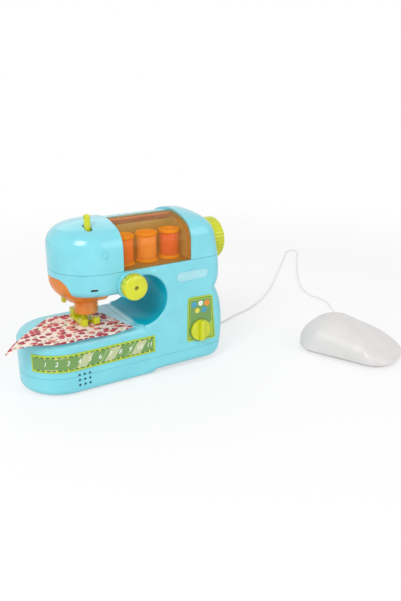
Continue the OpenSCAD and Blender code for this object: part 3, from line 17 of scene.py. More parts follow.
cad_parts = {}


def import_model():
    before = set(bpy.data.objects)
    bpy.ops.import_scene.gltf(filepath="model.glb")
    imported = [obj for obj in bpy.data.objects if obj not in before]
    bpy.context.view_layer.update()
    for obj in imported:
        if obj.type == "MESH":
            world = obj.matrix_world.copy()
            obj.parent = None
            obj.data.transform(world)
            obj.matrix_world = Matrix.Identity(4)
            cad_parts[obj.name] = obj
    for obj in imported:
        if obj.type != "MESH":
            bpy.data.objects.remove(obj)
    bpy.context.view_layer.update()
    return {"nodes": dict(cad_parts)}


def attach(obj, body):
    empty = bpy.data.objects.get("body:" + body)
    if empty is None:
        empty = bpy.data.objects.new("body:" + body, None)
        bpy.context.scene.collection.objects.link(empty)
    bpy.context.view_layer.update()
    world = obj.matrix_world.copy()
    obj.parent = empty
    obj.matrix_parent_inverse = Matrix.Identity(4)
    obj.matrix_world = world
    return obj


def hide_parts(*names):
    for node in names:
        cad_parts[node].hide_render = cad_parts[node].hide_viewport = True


LOG = logging.getLogger("sewing_machine")
# Metres in a millimetre
MM = 0.001
# How far a cut runs past what it cuts
OVER = 2.0
Flat = tuple[float, float]
Point = tuple[float, float, float]


class Body(Enum):
    """Bodies of the frame that pieces ride on."""

    MACHINE = "machine"
    DRIVE = "drive"
    TAKE_UP = "take_up"
    PRESSER = "presser"
    LIFTER = "lifter"
    KNOB = "knob"
    DIAL = "dial"
    COVER = "cover"
    SPOOL_LEFT = "spool_left"
    SPOOL_MIDDLE = "spool_middle"
    SPOOL_RIGHT = "spool_right"
    PEDAL_TOP = "pedal_top"


class Facing(Enum):
    """Where a flat outline or a turned shape faces: its own height runs that way."""

    UP = ((1, 0, 0), (0, 1, 0), (0, 0, 1))
    RIGHT = ((0, 0, 1), (1, 0, 0), (0, 1, 0))
    FRONT = ((1, 0, 0), (0, 0, -1), (0, 1, 0))
    BACK = ((1, 0, 0), (0, 0, 1), (0, -1, 0))


class Join(Enum):
    """Ways to put two solid forms together."""

    ADD = "UNION"
    CUT = "DIFFERENCE"
    MEET = "INTERSECT"


def arc(cx: float, cy: float, r: float, a0: float, a1: float, n: int) -> list[Flat]:
    """Points of an arc in the plane, angles in degrees."""
    angles = [math.radians(a0 + (a1 - a0) * i / n) for i in range(n + 1)]
    return [(cx + r * math.cos(a), cy + r * math.sin(a)) for a in angles]


def level(points: Sequence[Flat], z: float) -> list[Point]:
    """The same points at one height."""
    return [(x, y, z) for x, y in points]


def mix(a: float, b: float, t: float) -> float:
    """The value a share t of the way from a to b."""
    return a + (b - a) * t


def fillet(points: Sequence[Flat], radius: float, n: int = 4, closed: bool = True) -> list[Flat]:
    """Rounds the corners of an outline.

    Args:
        points: corners in order.
        radius: rounding, less on edges too short for it.
        n: steps in each rounding.
        closed: whether the last corner joins the first.
    Returns:
        The rounded outline.
    """
    made: list[Flat] = []
    count = len(points)
    for i, p in enumerate(points):
        if not closed and i in (0, count - 1):
            made.append(p)
            continue
        here = Vector(p)
        before, after = Vector(points[i - 1]) - here, Vector(points[(i + 1) % count]) - here
        reach = min(radius, before.length * 0.45, after.length * 0.45)
        start, end = here + before.normalized() * reach, here + after.normalized() * reach
        for k in range(n + 1):
            t = k / n
            made.append(tuple(start * (1 - t) ** 2 + here * 2 * t * (1 - t) + end * t * t))
    return made


def stadium(cx: float, cy: float, width: float, height: float, n: int = 20) -> list[Flat]:
    """Outline of a slot with round ends."""
    reach = (width - height) / 2
    return arc(cx + reach, cy, height / 2, -90, 90, n) + arc(cx - reach, cy, height / 2, 90, 270, n)


def curve_through(route: Sequence[Point], count: int) -> list[Point]:
    """Evenly spaced points of a smooth curve through the route.

    Args:
        route: points that the curve passes.
        count: number of points to return.
    Returns:
        Points at equal distances along the curve.
    """
    fine: list[Vector] = []
    knots = [Vector(p) for p in route]
    steps = 12
    for i in range(len(knots) - 1):
        a, b = knots[max(i - 1, 0)], knots[i]
        c, d = knots[i + 1], knots[min(i + 2, len(knots) - 1)]
        for j in range(steps):
            t = j / steps
            fine.append(0.5 * (2 * b + (c - a) * t + (2 * a - 5 * b + 4 * c - d) * t ** 2
                               + (3 * b - a - 3 * c + d) * t ** 3))
    fine.append(knots[-1])
    runs = [0.0]
    for p, q in zip(fine, fine[1:]):
        runs.append(runs[-1] + (q - p).length)
    made, i = [], 0
    for k in range(count):
        s = runs[-1] * k / (count - 1)
        while i < len(fine) - 2 and runs[i + 1] < s:
            i += 1
        made.append(tuple(fine[i].lerp(fine[i + 1], (s - runs[i]) / max(runs[i + 1] - runs[i], 1e-6))))
    return made


class SideCurve:
    """A smooth curve through rows of (place, value) that never overshoots them."""

    def __init__(self, rows: Sequence[Flat]) -> None:
        """Keeps the rows and works out a slope for each."""
        self.rows = list(rows)
        steps = [(b[1] - a[1]) / (b[0] - a[0]) for a, b in zip(rows, rows[1:])]
        inner = [0.0 if a * b <= 0 else 2 * a * b / (a + b) for a, b in zip(steps, steps[1:])]
        self.slopes = [steps[0], *inner, steps[-1]]

    def __call__(self, x: float) -> float:
        """The curve's value at a place."""
        i = 0
        while i < len(self.rows) - 2 and self.rows[i + 1][0] < x:
            i += 1
        (x0, y0), (x1, y1) = self.rows[i], self.rows[i + 1]
        h = x1 - x0
        t = min(1.0, max(0.0, (x - x0) / h))
        return (y0 * (1 + 2 * t) * (1 - t) ** 2 + h * self.slopes[i] * t * (1 - t) ** 2
                + y1 * t * t * (3 - 2 * t) + h * self.slopes[i + 1] * t * t * (t - 1))


class Form:
    """A solid under construction, a bmesh in millimetres."""

    def __init__(self) -> None:
        """Starts empty."""
        self.bm = bmesh.new()

    def tidy(self) -> "Form":
        """Closes seams and poles and turns the faces outwards."""
        bmesh.ops.remove_doubles(self.bm, verts=self.bm.verts, dist=1e-4)
        bmesh.ops.recalc_face_normals(self.bm, faces=self.bm.faces)
        return self

    def place(self, facing: Facing = Facing.UP, at: Point = (0, 0, 0)) -> "Form":
        """Turns the form to face one way and moves it."""
        bmesh.ops.transform(self.bm, matrix=Matrix.Translation(at) @ Matrix(facing.value).to_4x4(),
                            verts=self.bm.verts)
        return self

    def swing(self, degrees: float, about: Point = (0, 0, 0)) -> "Form":
        """Turns the form about an upright axis."""
        bmesh.ops.rotate(self.bm, cent=about, matrix=Matrix.Rotation(math.radians(degrees), 3, "Z"),
                         verts=self.bm.verts)
        return self

    def round_edges(self, width: float, segments: int = 3, least: float = 30.0) -> "Form":
        """Bevels every edge that turns by more than an angle in degrees."""
        edges = [e for e in self.bm.edges
                 if len(e.link_faces) == 2 and e.calc_face_angle(0.0) > math.radians(least)]
        bmesh.ops.bevel(self.bm, geom=edges, offset=width, affect="EDGES", segments=segments, profile=0.5,
                        material=-1, clamp_overlap=True)
        return self

    @classmethod
    def box(cls, low: Point, high: Point, edge: float = 0.0, segments: int = 3) -> "Form":
        """A block between two corners, with its edges rounded."""
        form = cls()
        bmesh.ops.create_cube(form.bm, size=1.0)
        bmesh.ops.scale(form.bm, vec=Vector(high) - Vector(low), verts=form.bm.verts)
        bmesh.ops.translate(form.bm, vec=(Vector(high) + Vector(low)) / 2, verts=form.bm.verts)
        return form.round_edges(edge, segments) if edge else form

    @classmethod
    def lathe(cls, profile: Sequence[Flat], facing: Facing = Facing.UP, at: Point = (0, 0, 0),
              steps: int = 96, ring: bool = False) -> "Form":
        """Turns a profile of (radius, height) about its axis.

        Args:
            profile: points of the profile.
            facing: way that the height runs.
            at: place of the axis at height 0.
            steps: facets round the axis.
            ring: whether the profile closes on itself.
        Returns:
            The turned form.
        """
        form = cls()
        verts = [form.bm.verts.new((r, 0, h)) for r, h in profile]
        pairs = list(zip(verts, verts[1:])) + ([(verts[-1], verts[0])] if ring else [])
        edges = [form.bm.edges.new(pair) for pair in pairs]
        bmesh.ops.spin(form.bm, geom=verts + edges, cent=(0, 0, 0), axis=(0, 0, 1), angle=2 * math.pi,
                       steps=steps, use_merge=True)
        return form.tidy().place(facing, at)

    @classmethod
    def rod(cls, radius: float, length: float, facing: Facing, at: Point, steps: int = 32, edge: float = 0.0,
            edge_n: int = 4) -> "Form":
        """A round bar or bore that starts at a place, its rims rounded in edge_n steps."""
        rows: Sequence[Flat] = [(0, 0), (radius, 0), (radius, length), (0, length)]
        if edge:
            rows = fillet(rows, edge, edge_n, closed=False)
        return cls.lathe(rows, facing, at, steps)

    @classmethod
    def prism(cls, outline: Sequence[Flat], depth: float, facing: Facing = Facing.UP,
              at: Point = (0, 0, 0)) -> "Form":
        """Extrudes a flat outline by a depth the way that it faces."""
        form = cls()
        verts = [form.bm.verts.new((x, y, 0)) for x, y in outline]
        face = bmesh.ops.contextual_create(
            form.bm, geom=[form.bm.edges.new(p) for p in zip(verts, verts[1:] + verts[:1])])["faces"]
        raised = bmesh.ops.extrude_face_region(form.bm, geom=face)["geom"]
        bmesh.ops.translate(form.bm, vec=(0, 0, depth),
                            verts=[v for v in raised if isinstance(v, bmesh.types.BMVert)])
        return form.tidy().place(facing, at)

    @classmethod
    def loft(cls, rings: Sequence[Sequence[Point]]) -> "Form":
        """A closed skin through rings of points."""
        form = cls()
        loops = []
        for ring in rings:
            verts = [form.bm.verts.new(p) for p in ring]
            loops.append([form.bm.edges.new(p) for p in zip(verts, verts[1:] + verts[:1])])
        for low, high in zip(loops, loops[1:]):
            bmesh.ops.bridge_loops(form.bm, edges=low + high)
        for loop in (loops[0], loops[-1]):
            bmesh.ops.contextual_create(form.bm, geom=loop)
        return form.tidy()

    @classmethod
    def tube(cls, line: Sequence[Point], radius: float, sides: int = 14) -> "Form":
        """A round tube along a line that is nowhere upright."""
        rings = []
        path = [Vector(p) for p in line]
        for i, p in enumerate(path):
            along = (path[min(i + 1, len(path) - 1)] - path[max(i - 1, 0)]).normalized()
            side = along.cross(Vector((0, 0, 1))).normalized()
            up = side.cross(along)
            rings.append([tuple(p + side * radius * math.cos(a) + up * radius * math.sin(a))
                          for a in (2 * math.pi * k / sides for k in range(sides))])
        return cls.loft(rings)

    def _scratch(self, name: str) -> bpy.types.Object:
        """A throwaway object of this form for the combining modifier."""
        mesh = bpy.data.meshes.new(name)
        self.bm.to_mesh(mesh)
        obj = bpy.data.objects.new(name, mesh)
        bpy.context.scene.collection.objects.link(obj)
        return obj

    def combined(self, other: "Form", how: Join) -> "Form":
        """This form and another put together as solids.

        Args:
            other: the second form.
            how: way to join them.
        Returns:
            The new form.
        """
        one, two = self._scratch("one"), other._scratch("two")
        modifier = one.modifiers.new("combine", "BOOLEAN")
        modifier.operation, modifier.object, modifier.solver = how.value, two, "MANIFOLD"
        mesh = bpy.data.meshes.new_from_object(one.evaluated_get(bpy.context.evaluated_depsgraph_get()))
        if not mesh.polygons:
            modifier.solver = "EXACT"
            mesh = bpy.data.meshes.new_from_object(one.evaluated_get(bpy.context.evaluated_depsgraph_get()))
        form = Form()
        form.bm.from_mesh(mesh)
        for obj in (one, two):
            data = obj.data
            bpy.data.objects.remove(obj)
            bpy.data.meshes.remove(data)
        bpy.data.meshes.remove(mesh)
        return form

    def add(self, *others: "Form") -> "Form":
        """This form joined with others."""
        form = self
        for other in others:
            form = form.combined(other, Join.ADD)
        return form

    def cut(self, *others: "Form") -> "Form":
        """This form with others cut away."""
        form = self
        for other in others:
            form = form.combined(other, Join.CUT)
        return form

    def meet(self, other: "Form") -> "Form":
        """What this form shares with another."""
        return self.combined(other, Join.MEET)

    def gather(self, *others: "Form") -> "Form":
        """This form with the meshes of separate forms beside it."""
        for other in others:
            mesh = bpy.data.meshes.new("gather")
            other.bm.to_mesh(mesh)
            self.bm.from_mesh(mesh)
            bpy.data.meshes.remove(mesh)
        return self

    def piece(self, name: str, finish: "Finish", slot: str, body: Body, *nodes: str,
              sharp: float = 34.0) -> bpy.types.Object:
        """Hands the form over as a finished piece.

        Args:
            name: name of the piece.
            finish: its material.
            slot: not used.
            body: body that it rides on.
            nodes: solids of the frame that it stands for.
            sharp: angle in degrees past which an edge shows.
        Returns:
            The new object.
        """
        bmesh.ops.remove_doubles(self.bm, verts=self.bm.verts, dist=2e-4)
        bmesh.ops.dissolve_degenerate(self.bm, edges=self.bm.edges, dist=1e-4)
        bmesh.ops.scale(self.bm, vec=(MM, MM, MM), verts=self.bm.verts)
        mesh = bpy.data.meshes.new(name)
        self.bm.to_mesh(mesh)
        mesh.polygons.foreach_set("use_smooth", [True] * len(mesh.polygons))
        mesh.set_sharp_from_angle(angle=math.radians(sharp))
        obj = bpy.data.objects.new(name, mesh)
        bpy.context.scene.collection.objects.link(obj)
        mesh.materials.append(finish.material())
        even = obj.modifiers.new("even_normals", "WEIGHTED_NORMAL")
        even.keep_sharp = True
        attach(obj, body.value)
        if nodes:
            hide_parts(*nodes)
        LOG.info("%s: %d faces on %s", name, len(mesh.polygons), body.value)
        return obj


Colour = tuple[float, float, float, float]
Socket = bpy.types.NodeSocket
Tree = bpy.types.NodeTree
# Numbers of a colour Mix node's sockets
FACTOR, FIRST, SECOND, RESULT = 0, 6, 7, 2


def linear(code: str, share: float = 1.0) -> Colour:
    """Linear colour of an sRGB hex code, made darker or lighter by a share."""
    parts = [int(code[i:i + 2], 16) / 255 for i in (1, 3, 5)]
    return (*(share * (c / 12.92 if c <= 0.04045 else ((c + 0.055) / 1.055) ** 2.4) for c in parts), 1.0)


def node(tree: Tree, kind: str, inputs: dict | None = None, **settings: object) -> bpy.types.Node:
    """Adds one node.

    Args:
        tree: node tree that it joins.
        kind: class of the node.
        inputs: values or sockets by input name or number.
        settings: attributes of the node.
    Returns:
        The new node.
    """
    made = tree.nodes.new(kind)
    for key, value in settings.items():
        setattr(made, key, value)
    for key, value in (inputs or {}).items():
        if isinstance(value, Socket):
            tree.links.new(value, made.inputs[key])
        else:
            made.inputs[key].default_value = value
    return made


def own_place(tree: Tree) -> Socket:
    """Where a point lies on its own object."""
    return node(tree, "ShaderNodeTexCoord").outputs["Object"]


def noise(tree: Tree, place: Socket, spot_mm: float, detail: float = 2.0, rough: float = 0.5) -> Socket:
    """Soft noise with spots of one size."""
    return node(tree, "ShaderNodeTexNoise", {"Vector": place, "Scale": 1 / (spot_mm * MM), "Detail": detail,
                                             "Roughness": rough}).outputs["Fac"]


def remap(tree: Tree, value: Socket, source: Flat, target: Flat = (0.0, 1.0)) -> Socket:
    """Maps a value from one range to another."""
    return node(tree, "ShaderNodeMapRange", {"Value": value, "From Min": source[0], "From Max": source[1],
                                             "To Min": target[0], "To Max": target[1]}).outputs[0]


def sums(tree: Tree, operation: str, first: Socket | float, second: Socket | float) -> Socket:
    """Works out one sum of two values."""
    return node(tree, "ShaderNodeMath", {0: first, 1: second}, operation=operation).outputs[0]


def blend(tree: Tree, share: Socket, first: Socket | Colour, second: Socket | Colour) -> Socket:
    """Mixes two colours by a share."""
    return node(tree, "ShaderNodeMix", {FACTOR: share, FIRST: first, SECOND: second},
                data_type="RGBA").outputs[RESULT]


def either(tree: Tree, share: Socket, first: bpy.types.Node, second: bpy.types.Node) -> Socket:
    """Mixes two shaders by a share."""
    return node(tree, "ShaderNodeMixShader", {0: share, 1: first.outputs[0], 2: second.outputs[0]}).outputs[0]


def bump(tree: Tree, height: Socket, strength: float, depth_mm: float) -> Socket:
    """Normals of a fine relief."""
    return node(tree, "ShaderNodeBump", {"Height": height, "Strength": strength,
                                         "Distance": depth_mm * MM}).outputs["Normal"]


def wave(tree: Tree, place: Socket, pitch_mm: float, settings: dict, **more: object) -> Socket:
    """Even bands at a pitch."""
    scale_for_pitch = 0.314
    return node(tree, "ShaderNodeTexWave", {"Vector": place, "Scale": scale_for_pitch / (pitch_mm * MM), **settings},
                **more).outputs["Fac"]


@dataclass(frozen=True)
class Finish:
    """A named material; each kind of finish gives its own shader."""

    name: str
    colour: str

    def material(self) -> bpy.types.Material:
        """The material, made at its first use."""
        found = bpy.data.materials.get(self.name)
        if found:
            return found
        made = bpy.data.materials.new(self.name)
        made.use_nodes = True
        made.node_tree.nodes.clear()
        made.diffuse_color = linear(self.colour)
        node(made.node_tree, "ShaderNodeOutputMaterial", {"Surface": self.shader(made.node_tree)})
        return made

    def shader(self, tree: Tree) -> Socket:
        """The shader that the material shows."""
        raise NotImplementedError


@dataclass(frozen=True)
class MouldedPlastic(Finish):
    """Injection moulded ABS: even colour, soft gloss, the faintest flow mottle and a fine mould grain."""

    shade: str
    roughness: float = 0.3
    mottle_mm: float = 22.0
    # the real grain is near 0.1 mm; drawn coarser so that it shows
    grain_mm: float = 0.7
    grain_depth_mm: float = 0.012
    coat: float = 0.25
    # axis in X and Z, radius and colour of a round shade pocket through the moulding, where painted shade deepens the
    # tone and takes the gloss away
    shade_pocket: tuple[float, float, float] = (0.0, 0.0, 0.0)
    shade_pocket_colour: str = "#000000"
    shine: float = 0.5
    shade_pocket_shine: float = 0.05

    def shader(self, tree: Tree) -> Socket:
        """Colour from the mottle, roughness from the mottle, bump from the grain; painted shade inside a shade pocket.
        """
        place = own_place(tree)
        mottle = noise(tree, place, self.mottle_mm, 3.0, 0.55)
        base = blend(tree, remap(tree, mottle, (0.3, 0.7)), linear(self.shade), linear(self.colour))
        rough = remap(tree, mottle, (0.25, 0.75), (self.roughness + 0.05, self.roughness - 0.04))
        shine, coat = self.shine, self.coat
        x, z, r = self.shade_pocket
        if r:
            # painted shade: within the pocket's radius the colour turns to the painted shade colour and the shine and
            # coat fade out, standing in for the dark of the hollow
            flat = node(tree, "ShaderNodeVectorMath", {0: place, 1: (1.0, 0.0, 1.0)}, operation="MULTIPLY")
            off = node(tree, "ShaderNodeVectorMath", {0: flat.outputs[0], 1: (x * MM, 0.0, z * MM)},
                       operation="DISTANCE")
            deep = remap(tree, off.outputs["Value"], ((r + 0.6) * MM, (r + 0.1) * MM))
            base = blend(tree, deep, base, linear(self.shade_pocket_colour))
            shine = remap(tree, deep, (0.0, 1.0), (self.shine, self.shade_pocket_shine))
            coat = remap(tree, deep, (0.0, 1.0), (self.coat, 0.0))
        return node(tree, "ShaderNodeBsdfPrincipled",
                    {"Base Color": base, "Roughness": rough, "IOR": 1.53, "Specular IOR Level": shine,
                     "Normal": bump(tree, noise(tree, place, self.grain_mm), 0.35, self.grain_depth_mm),
                     "Coat Weight": coat, "Coat Roughness": 0.07}).outputs[0]


@dataclass(frozen=True)
class ClearPlastic(Finish):
    """Tinted clear polystyrene: what is behind shows through in its tint, under a hard gloss."""

    tint: str
    body: float = 0.3
    roughness: float = 0.08
    drift_mm: float = 12.0

    def shader(self, tree: Tree) -> Socket:
        """A tinted pass-through mixed with a glossy body whose haze drifts a little."""
        drift = noise(tree, own_place(tree), self.drift_mm)
        haze = remap(tree, drift, (0.3, 0.7), (self.body - 0.03, self.body + 0.03))
        rough = remap(tree, drift, (0.0, 1.0), (self.roughness, self.roughness + 0.06))
        clear = node(tree, "ShaderNodeBsdfTransparent", {"Color": linear(self.tint)})
        gloss = node(tree, "ShaderNodeBsdfPrincipled",
                     {"Base Color": linear(self.colour), "Roughness": rough, "IOR": 1.59, "Coat Weight": 0.4,
                      "Coat Roughness": 0.04})
        return either(tree, haze, clear, gloss)


@dataclass(frozen=True)
class DrawnSteel(Finish):
    """Nickelled steel wire and sheet: bright, with fine drawing lines along one way."""

    roughness: float = 0.28
    line_mm: float = 0.25

    def shader(self, tree: Tree) -> Socket:
        """Streaked roughness and a streaked bump."""
        lines = node(tree, "ShaderNodeMapping", {"Vector": own_place(tree), "Scale": (1.0, 1.0, 0.05)})
        streak = noise(tree, lines.outputs[0], self.line_mm, 3.0)
        rough = remap(tree, streak, (0.3, 0.7), (self.roughness - 0.08, self.roughness + 0.1))
        return node(tree, "ShaderNodeBsdfPrincipled",
                    {"Base Color": linear(self.colour), "Metallic": 1.0, "Roughness": rough,
                     "Normal": bump(tree, streak, 0.2, 0.01)}).outputs[0]


@dataclass(frozen=True)
class InkPrint(Finish):
    """Screen-printed ink on a plastic label: flat colour with a slight unevenness under a satin film."""

    roughness: float = 0.35
    dot_mm: float = 0.5

    def shader(self, tree: Tree) -> Socket:
        """A fine dot mottle in the colour."""
        tint = blend(tree, noise(tree, own_place(tree), self.dot_mm), linear(self.colour, 0.86),
                     linear(self.colour, 1.1))
        return node(tree, "ShaderNodeBsdfPrincipled", {"Base Color": tint, "Roughness": self.roughness, "IOR": 1.5,
                                                       "Coat Weight": 0.2, "Coat Roughness": 0.15}).outputs[0]


@dataclass(frozen=True)
class SpunThread(Finish):
    """Polyester sewing thread: soft sheen with the twist of its plies across it."""

    twist_mm: float = 0.6

    def shader(self, tree: Tree) -> Socket:
        """Slanted ply lines in the bump, and painted shade that darkens the colour where the bump dips between plies.
        """
        turned = node(tree, "ShaderNodeMapping", {"Vector": own_place(tree), "Rotation": (0.0, 0.6, 0.5)})
        plies = wave(tree, turned.outputs[0], self.twist_mm, {"Distortion": 2.5, "Detail": 2.0})
        # painted shade: the colour drops to 0.72 of itself in the grooves between the plies
        tint = blend(tree, plies, linear(self.colour, 0.72), linear(self.colour))
        return node(tree, "ShaderNodeBsdfPrincipled", {"Base Color": tint, "Roughness": 0.55, "Sheen Weight": 0.3,
                                                       "Normal": bump(tree, plies, 0.5, 0.08)}).outputs[0]


@dataclass(frozen=True)
class PrintedCotton(Finish):
    """Plain-woven cotton printed all over with scattered small blooms, buds and leaves."""

    blooms: tuple[str, str, str] = ("#a5122f", "#c8304e", "#e0705f")
    leaves: tuple[str, str, str] = ("#7f9a55", "#a9b56a", "#d98f86")
    buds: tuple[str, str, str] = ("#b3122f", "#d8506a", "#fbf3ea")
    bloom_mm: float = 6.4
    leaf_mm: float = 4.2
    bud_mm: float = 2.6
    wobble_mm: float = 1.6
    # real threads are near 0.25 mm apart; drawn coarser so that the weave shows
    thread_mm: float = 0.8

    def shader(self, tree: Tree) -> Socket:
        """Layers of cell patterns over the ground colour, with a woven bump."""
        place = own_place(tree)
        wobble = node(tree, "ShaderNodeTexNoise", {"Vector": place, "Scale": 1 / (self.wobble_mm * MM), "Detail": 2.0})
        shift = node(tree, "ShaderNodeVectorMath", {0: wobble.outputs["Color"], 1: (self.wobble_mm * MM,) * 3},
                     operation="MULTIPLY")
        loose = node(tree, "ShaderNodeVectorMath", {0: place, 1: shift.outputs[0]}, operation="ADD").outputs[0]
        colour = linear(self.colour)
        for size, reach, inks, turn in ((self.leaf_mm, 0.36, self.leaves, 0.4), (self.bloom_mm, 0.5, self.blooms, 0.0),
                                        (self.bud_mm, 0.24, self.buds, 1.1)):
            turned = node(tree, "ShaderNodeMapping", {"Vector": loose, "Rotation": (0.0, 0.0, turn),
                                                      "Scale": (1.0, 1.0, 0.15)})
            cells = node(tree, "ShaderNodeTexVoronoi", {"Vector": turned.outputs[0], "Scale": 1 / (size * MM),
                                                        "Randomness": 0.9})
            pick = node(tree, "ShaderNodeSeparateColor", {"Color": cells.outputs["Color"]}).outputs[0]
            ink = linear(inks[0])
            for least, code in ((0.45, inks[1]), (0.75, inks[2])):
                ink = blend(tree, sums(tree, "GREATER_THAN", pick, least), ink, linear(code))
            shape = remap(tree, cells.outputs["Distance"], (reach, reach - 0.06))
            colour = blend(tree, shape, colour, ink)
        across, along = (wave(tree, place, self.thread_mm, {"Distortion": 0.4}, bands_direction=axis)
                         for axis in ("X", "Y"))
        weave = bump(tree, sums(tree, "ADD", across, along), 0.4, 0.1)
        return node(tree, "ShaderNodeBsdfPrincipled", {"Base Color": colour, "Roughness": 0.85, "Sheen Weight": 0.2,
                                                       "Normal": weave}).outputs[0]


AQUA = MouldedPlastic("aqua_abs", "#7fd6e2", "#78cedc", 0.18)
# the case's throat gets painted shade: a deep saturated teal with no gloss inside the bore
AQUA_CASE_SHADED_THROAT = MouldedPlastic("aqua_abs_case_throat_shade", "#7fd6e2", "#78cedc", 0.18, shade_pocket=(9.5, 78.5, 24.5),
                           shade_pocket_colour="#06b4ca")
# painted shade: a darker, matte copy of the aqua for the deck plate inside the case
AQUA_SHADED_INSIDE = MouldedPlastic("aqua_abs_painted_shade_inside", "#4fb6c4", "#45abba", 0.5, coat=0.0)
LIME = MouldedPlastic("lime_abs", "#d3d817", "#c6cb0c", 0.26)
WHITE = MouldedPlastic("white_abs", "#dfdcdb", "#d8d5d4", 0.36, coat=0.1)
PLAQUE = MouldedPlastic("pale_aqua_abs", "#a8dfe7", "#a0d8e1", 0.3)
CORD_SHEATH = MouldedPlastic("cord_sheath_vinyl", "#f6f5f3", "#eeedeb", 0.42, grain_mm=0.5)
SPOOL = MouldedPlastic("spool_polypropylene", "#f9d53a", "#f2ca2c", 0.32, coat=0.1)
RUBBER = MouldedPlastic("black_rubber", "#26272a", "#1f2023", 0.75, coat=0.0, grain_depth_mm=0.04)
DARK = MouldedPlastic("dark_abs", "#2b2c30", "#232428", 0.45, coat=0.0)
BOARD = MouldedPlastic("circuit_board_lacquer", "#1d6b45", "#175c3a", 0.4)
CELLS = MouldedPlastic("cell_wrap_film", "#355a50", "#2b4b43", 0.25)
ORANGE = ClearPlastic("orange_clear_styrene", "#ff9010", "#ffeccc", 0.17)
CHIN = ClearPlastic("orange_cloudy_styrene", "#ff9c38", "#ffecc8", 0.52, 0.12)
STEEL = DrawnSteel("nickelled_steel", "#c9cbd0")
COTTON = PrintedCotton("printed_cotton", "#faeae0")
CORAL = SpunThread("thread_coral", "#f08a88")
PEACH = SpunThread("thread_peach", "#fff6e4")
CRIMSON = SpunThread("thread_crimson", "#c21a4a")
LABEL_EDGE = InkPrint("ink_yellow_green", "#a9c83a")
LABEL_FIELD = InkPrint("ink_leaf_green", "#6f9a52")
LABEL_PALE = InkPrint("ink_pale_sage", "#bfc79a")
LABEL_MID = InkPrint("ink_sage", "#8fae6c")
INK_DARK = InkPrint("ink_dark_green", "#2f5324")
INK_WHITE = InkPrint("ink_white", "#f4f5ee")
INK_BLUE = InkPrint("ink_blue", "#3d9cc4")
INK_ORANGE = InkPrint("ink_orange", "#f08a24")
INK_YELLOW = InkPrint("ink_yellow", "#efe04a")


@dataclass
class Stage:
    """Camera at the photograph's place, a pale floor and soft studio light."""

    camera_at: Point = (-0.2484, -0.5543, 0.2889)
    camera_aim: Point = (0.4946, 0.7983, -0.3437)
    lens_mm: float = 39.534
    sensor_mm: float = 36.0
    floor_colour: str = "#fafafa"
    floor_half: float = 12.0
    floor_centre: Point = (0.12, 0.03, 0.0)
    floor_near: float = 0.3
    floor_far: float = 0.75
    floor_glow: float = 0.62
    floor_drop: float = 0.0003
    world_light: float = 0.62
    lamp_aim: Point = (0.05, 0.0, 0.08)
    # name, place, size in metres and watts of each lamp
    lamps: tuple[tuple[str, Point, float, float], ...] = (
        ("key", (-0.9, -0.7, 1.1), 0.6, 10.0), ("fill", (0.6, -1.2, 0.6), 0.9, 3.5),
        ("back", (0.3, 1.1, 1.0), 0.9, 1.5))

    def camera(self) -> None:
        """Sets the camera up."""
        data = bpy.data.cameras.new("camera")
        data.lens, data.sensor_width, data.clip_start = self.lens_mm, self.sensor_mm, 0.01
        obj = bpy.data.objects.new("camera", data)
        obj.location = self.camera_at
        obj.rotation_euler = Vector(self.camera_aim).to_track_quat("-Z", "Y").to_euler()
        bpy.context.scene.collection.objects.link(obj)
        bpy.context.scene.camera = obj

    def floor(self) -> None:
        """Lays the floor."""
        bm = bmesh.new()
        bmesh.ops.create_grid(bm, x_segments=1, y_segments=1, size=self.floor_half)
        bmesh.ops.translate(bm, vec=(0, 0, -self.floor_drop), verts=bm.verts)
        mesh = bpy.data.meshes.new("floor")
        bm.to_mesh(mesh)
        obj = bpy.data.objects.new("floor", mesh)
        bpy.context.scene.collection.objects.link(obj)
        mesh.materials.append(self.paper())

    def paper(self) -> bpy.types.Material:
        """White paper that keeps the shadow near the object and reads as plain white far from it."""
        made = bpy.data.materials.new("white_paper_sweep")
        made.use_nodes = True
        tree = made.node_tree
        tree.nodes.clear()
        away = node(tree, "ShaderNodeVectorMath", {0: own_place(tree), 1: self.floor_centre}, operation="DISTANCE")
        fade = node(tree, "ShaderNodeMapRange", {"Value": away.outputs["Value"], "From Min": self.floor_near,
                                                 "From Max": self.floor_far, "To Min": self.floor_glow},
                    interpolation_type="SMOOTHSTEP")
        seen = sums(tree, "MULTIPLY", fade.outputs[0], node(tree, "ShaderNodeLightPath").outputs["Is Camera Ray"])
        paper = node(tree, "ShaderNodeBsdfPrincipled", {"Base Color": linear(self.floor_colour), "Roughness": 0.9})
        white = node(tree, "ShaderNodeEmission", {"Color": (1, 1, 1, 1), "Strength": 1.0})
        node(tree, "ShaderNodeOutputMaterial", {"Surface": either(tree, seen, paper, white)})
        return made

    def lamp(self, name: str, at: Point, size: float, watts: float) -> None:
        """Hangs one square soft lamp."""
        data = bpy.data.lights.new(name, "AREA")
        data.shape, data.size, data.energy = "SQUARE", size, watts
        obj = bpy.data.objects.new(name, data)
        obj.location = at
        obj.rotation_euler = (Vector(self.lamp_aim) - Vector(at)).to_track_quat("-Z", "Y").to_euler()
        bpy.context.scene.collection.objects.link(obj)

    def light(self) -> None:
        """Lights the object evenly; the sky is white where the camera or a reflection sees it."""
        world = bpy.data.worlds.new("studio")
        bpy.context.scene.world = world
        world.use_nodes = True
        tree = world.node_tree
        tree.nodes.clear()
        path = node(tree, "ShaderNodeLightPath").outputs
        seen = sums(tree, "MAXIMUM", path["Is Camera Ray"], path["Is Glossy Ray"])
        seen = sums(tree, "MAXIMUM", seen, path["Is Transmission Ray"])
        lit, white = (node(tree, "ShaderNodeBackground", {"Color": (1, 1, 1, 1), "Strength": strength})
                      for strength in (self.world_light, 1.0))
        node(tree, "ShaderNodeOutputWorld", {"Surface": either(tree, seen, lit, white)})
        for lamp in self.lamps:
            self.lamp(*lamp)
        bpy.context.scene.view_settings.view_transform = "Standard"


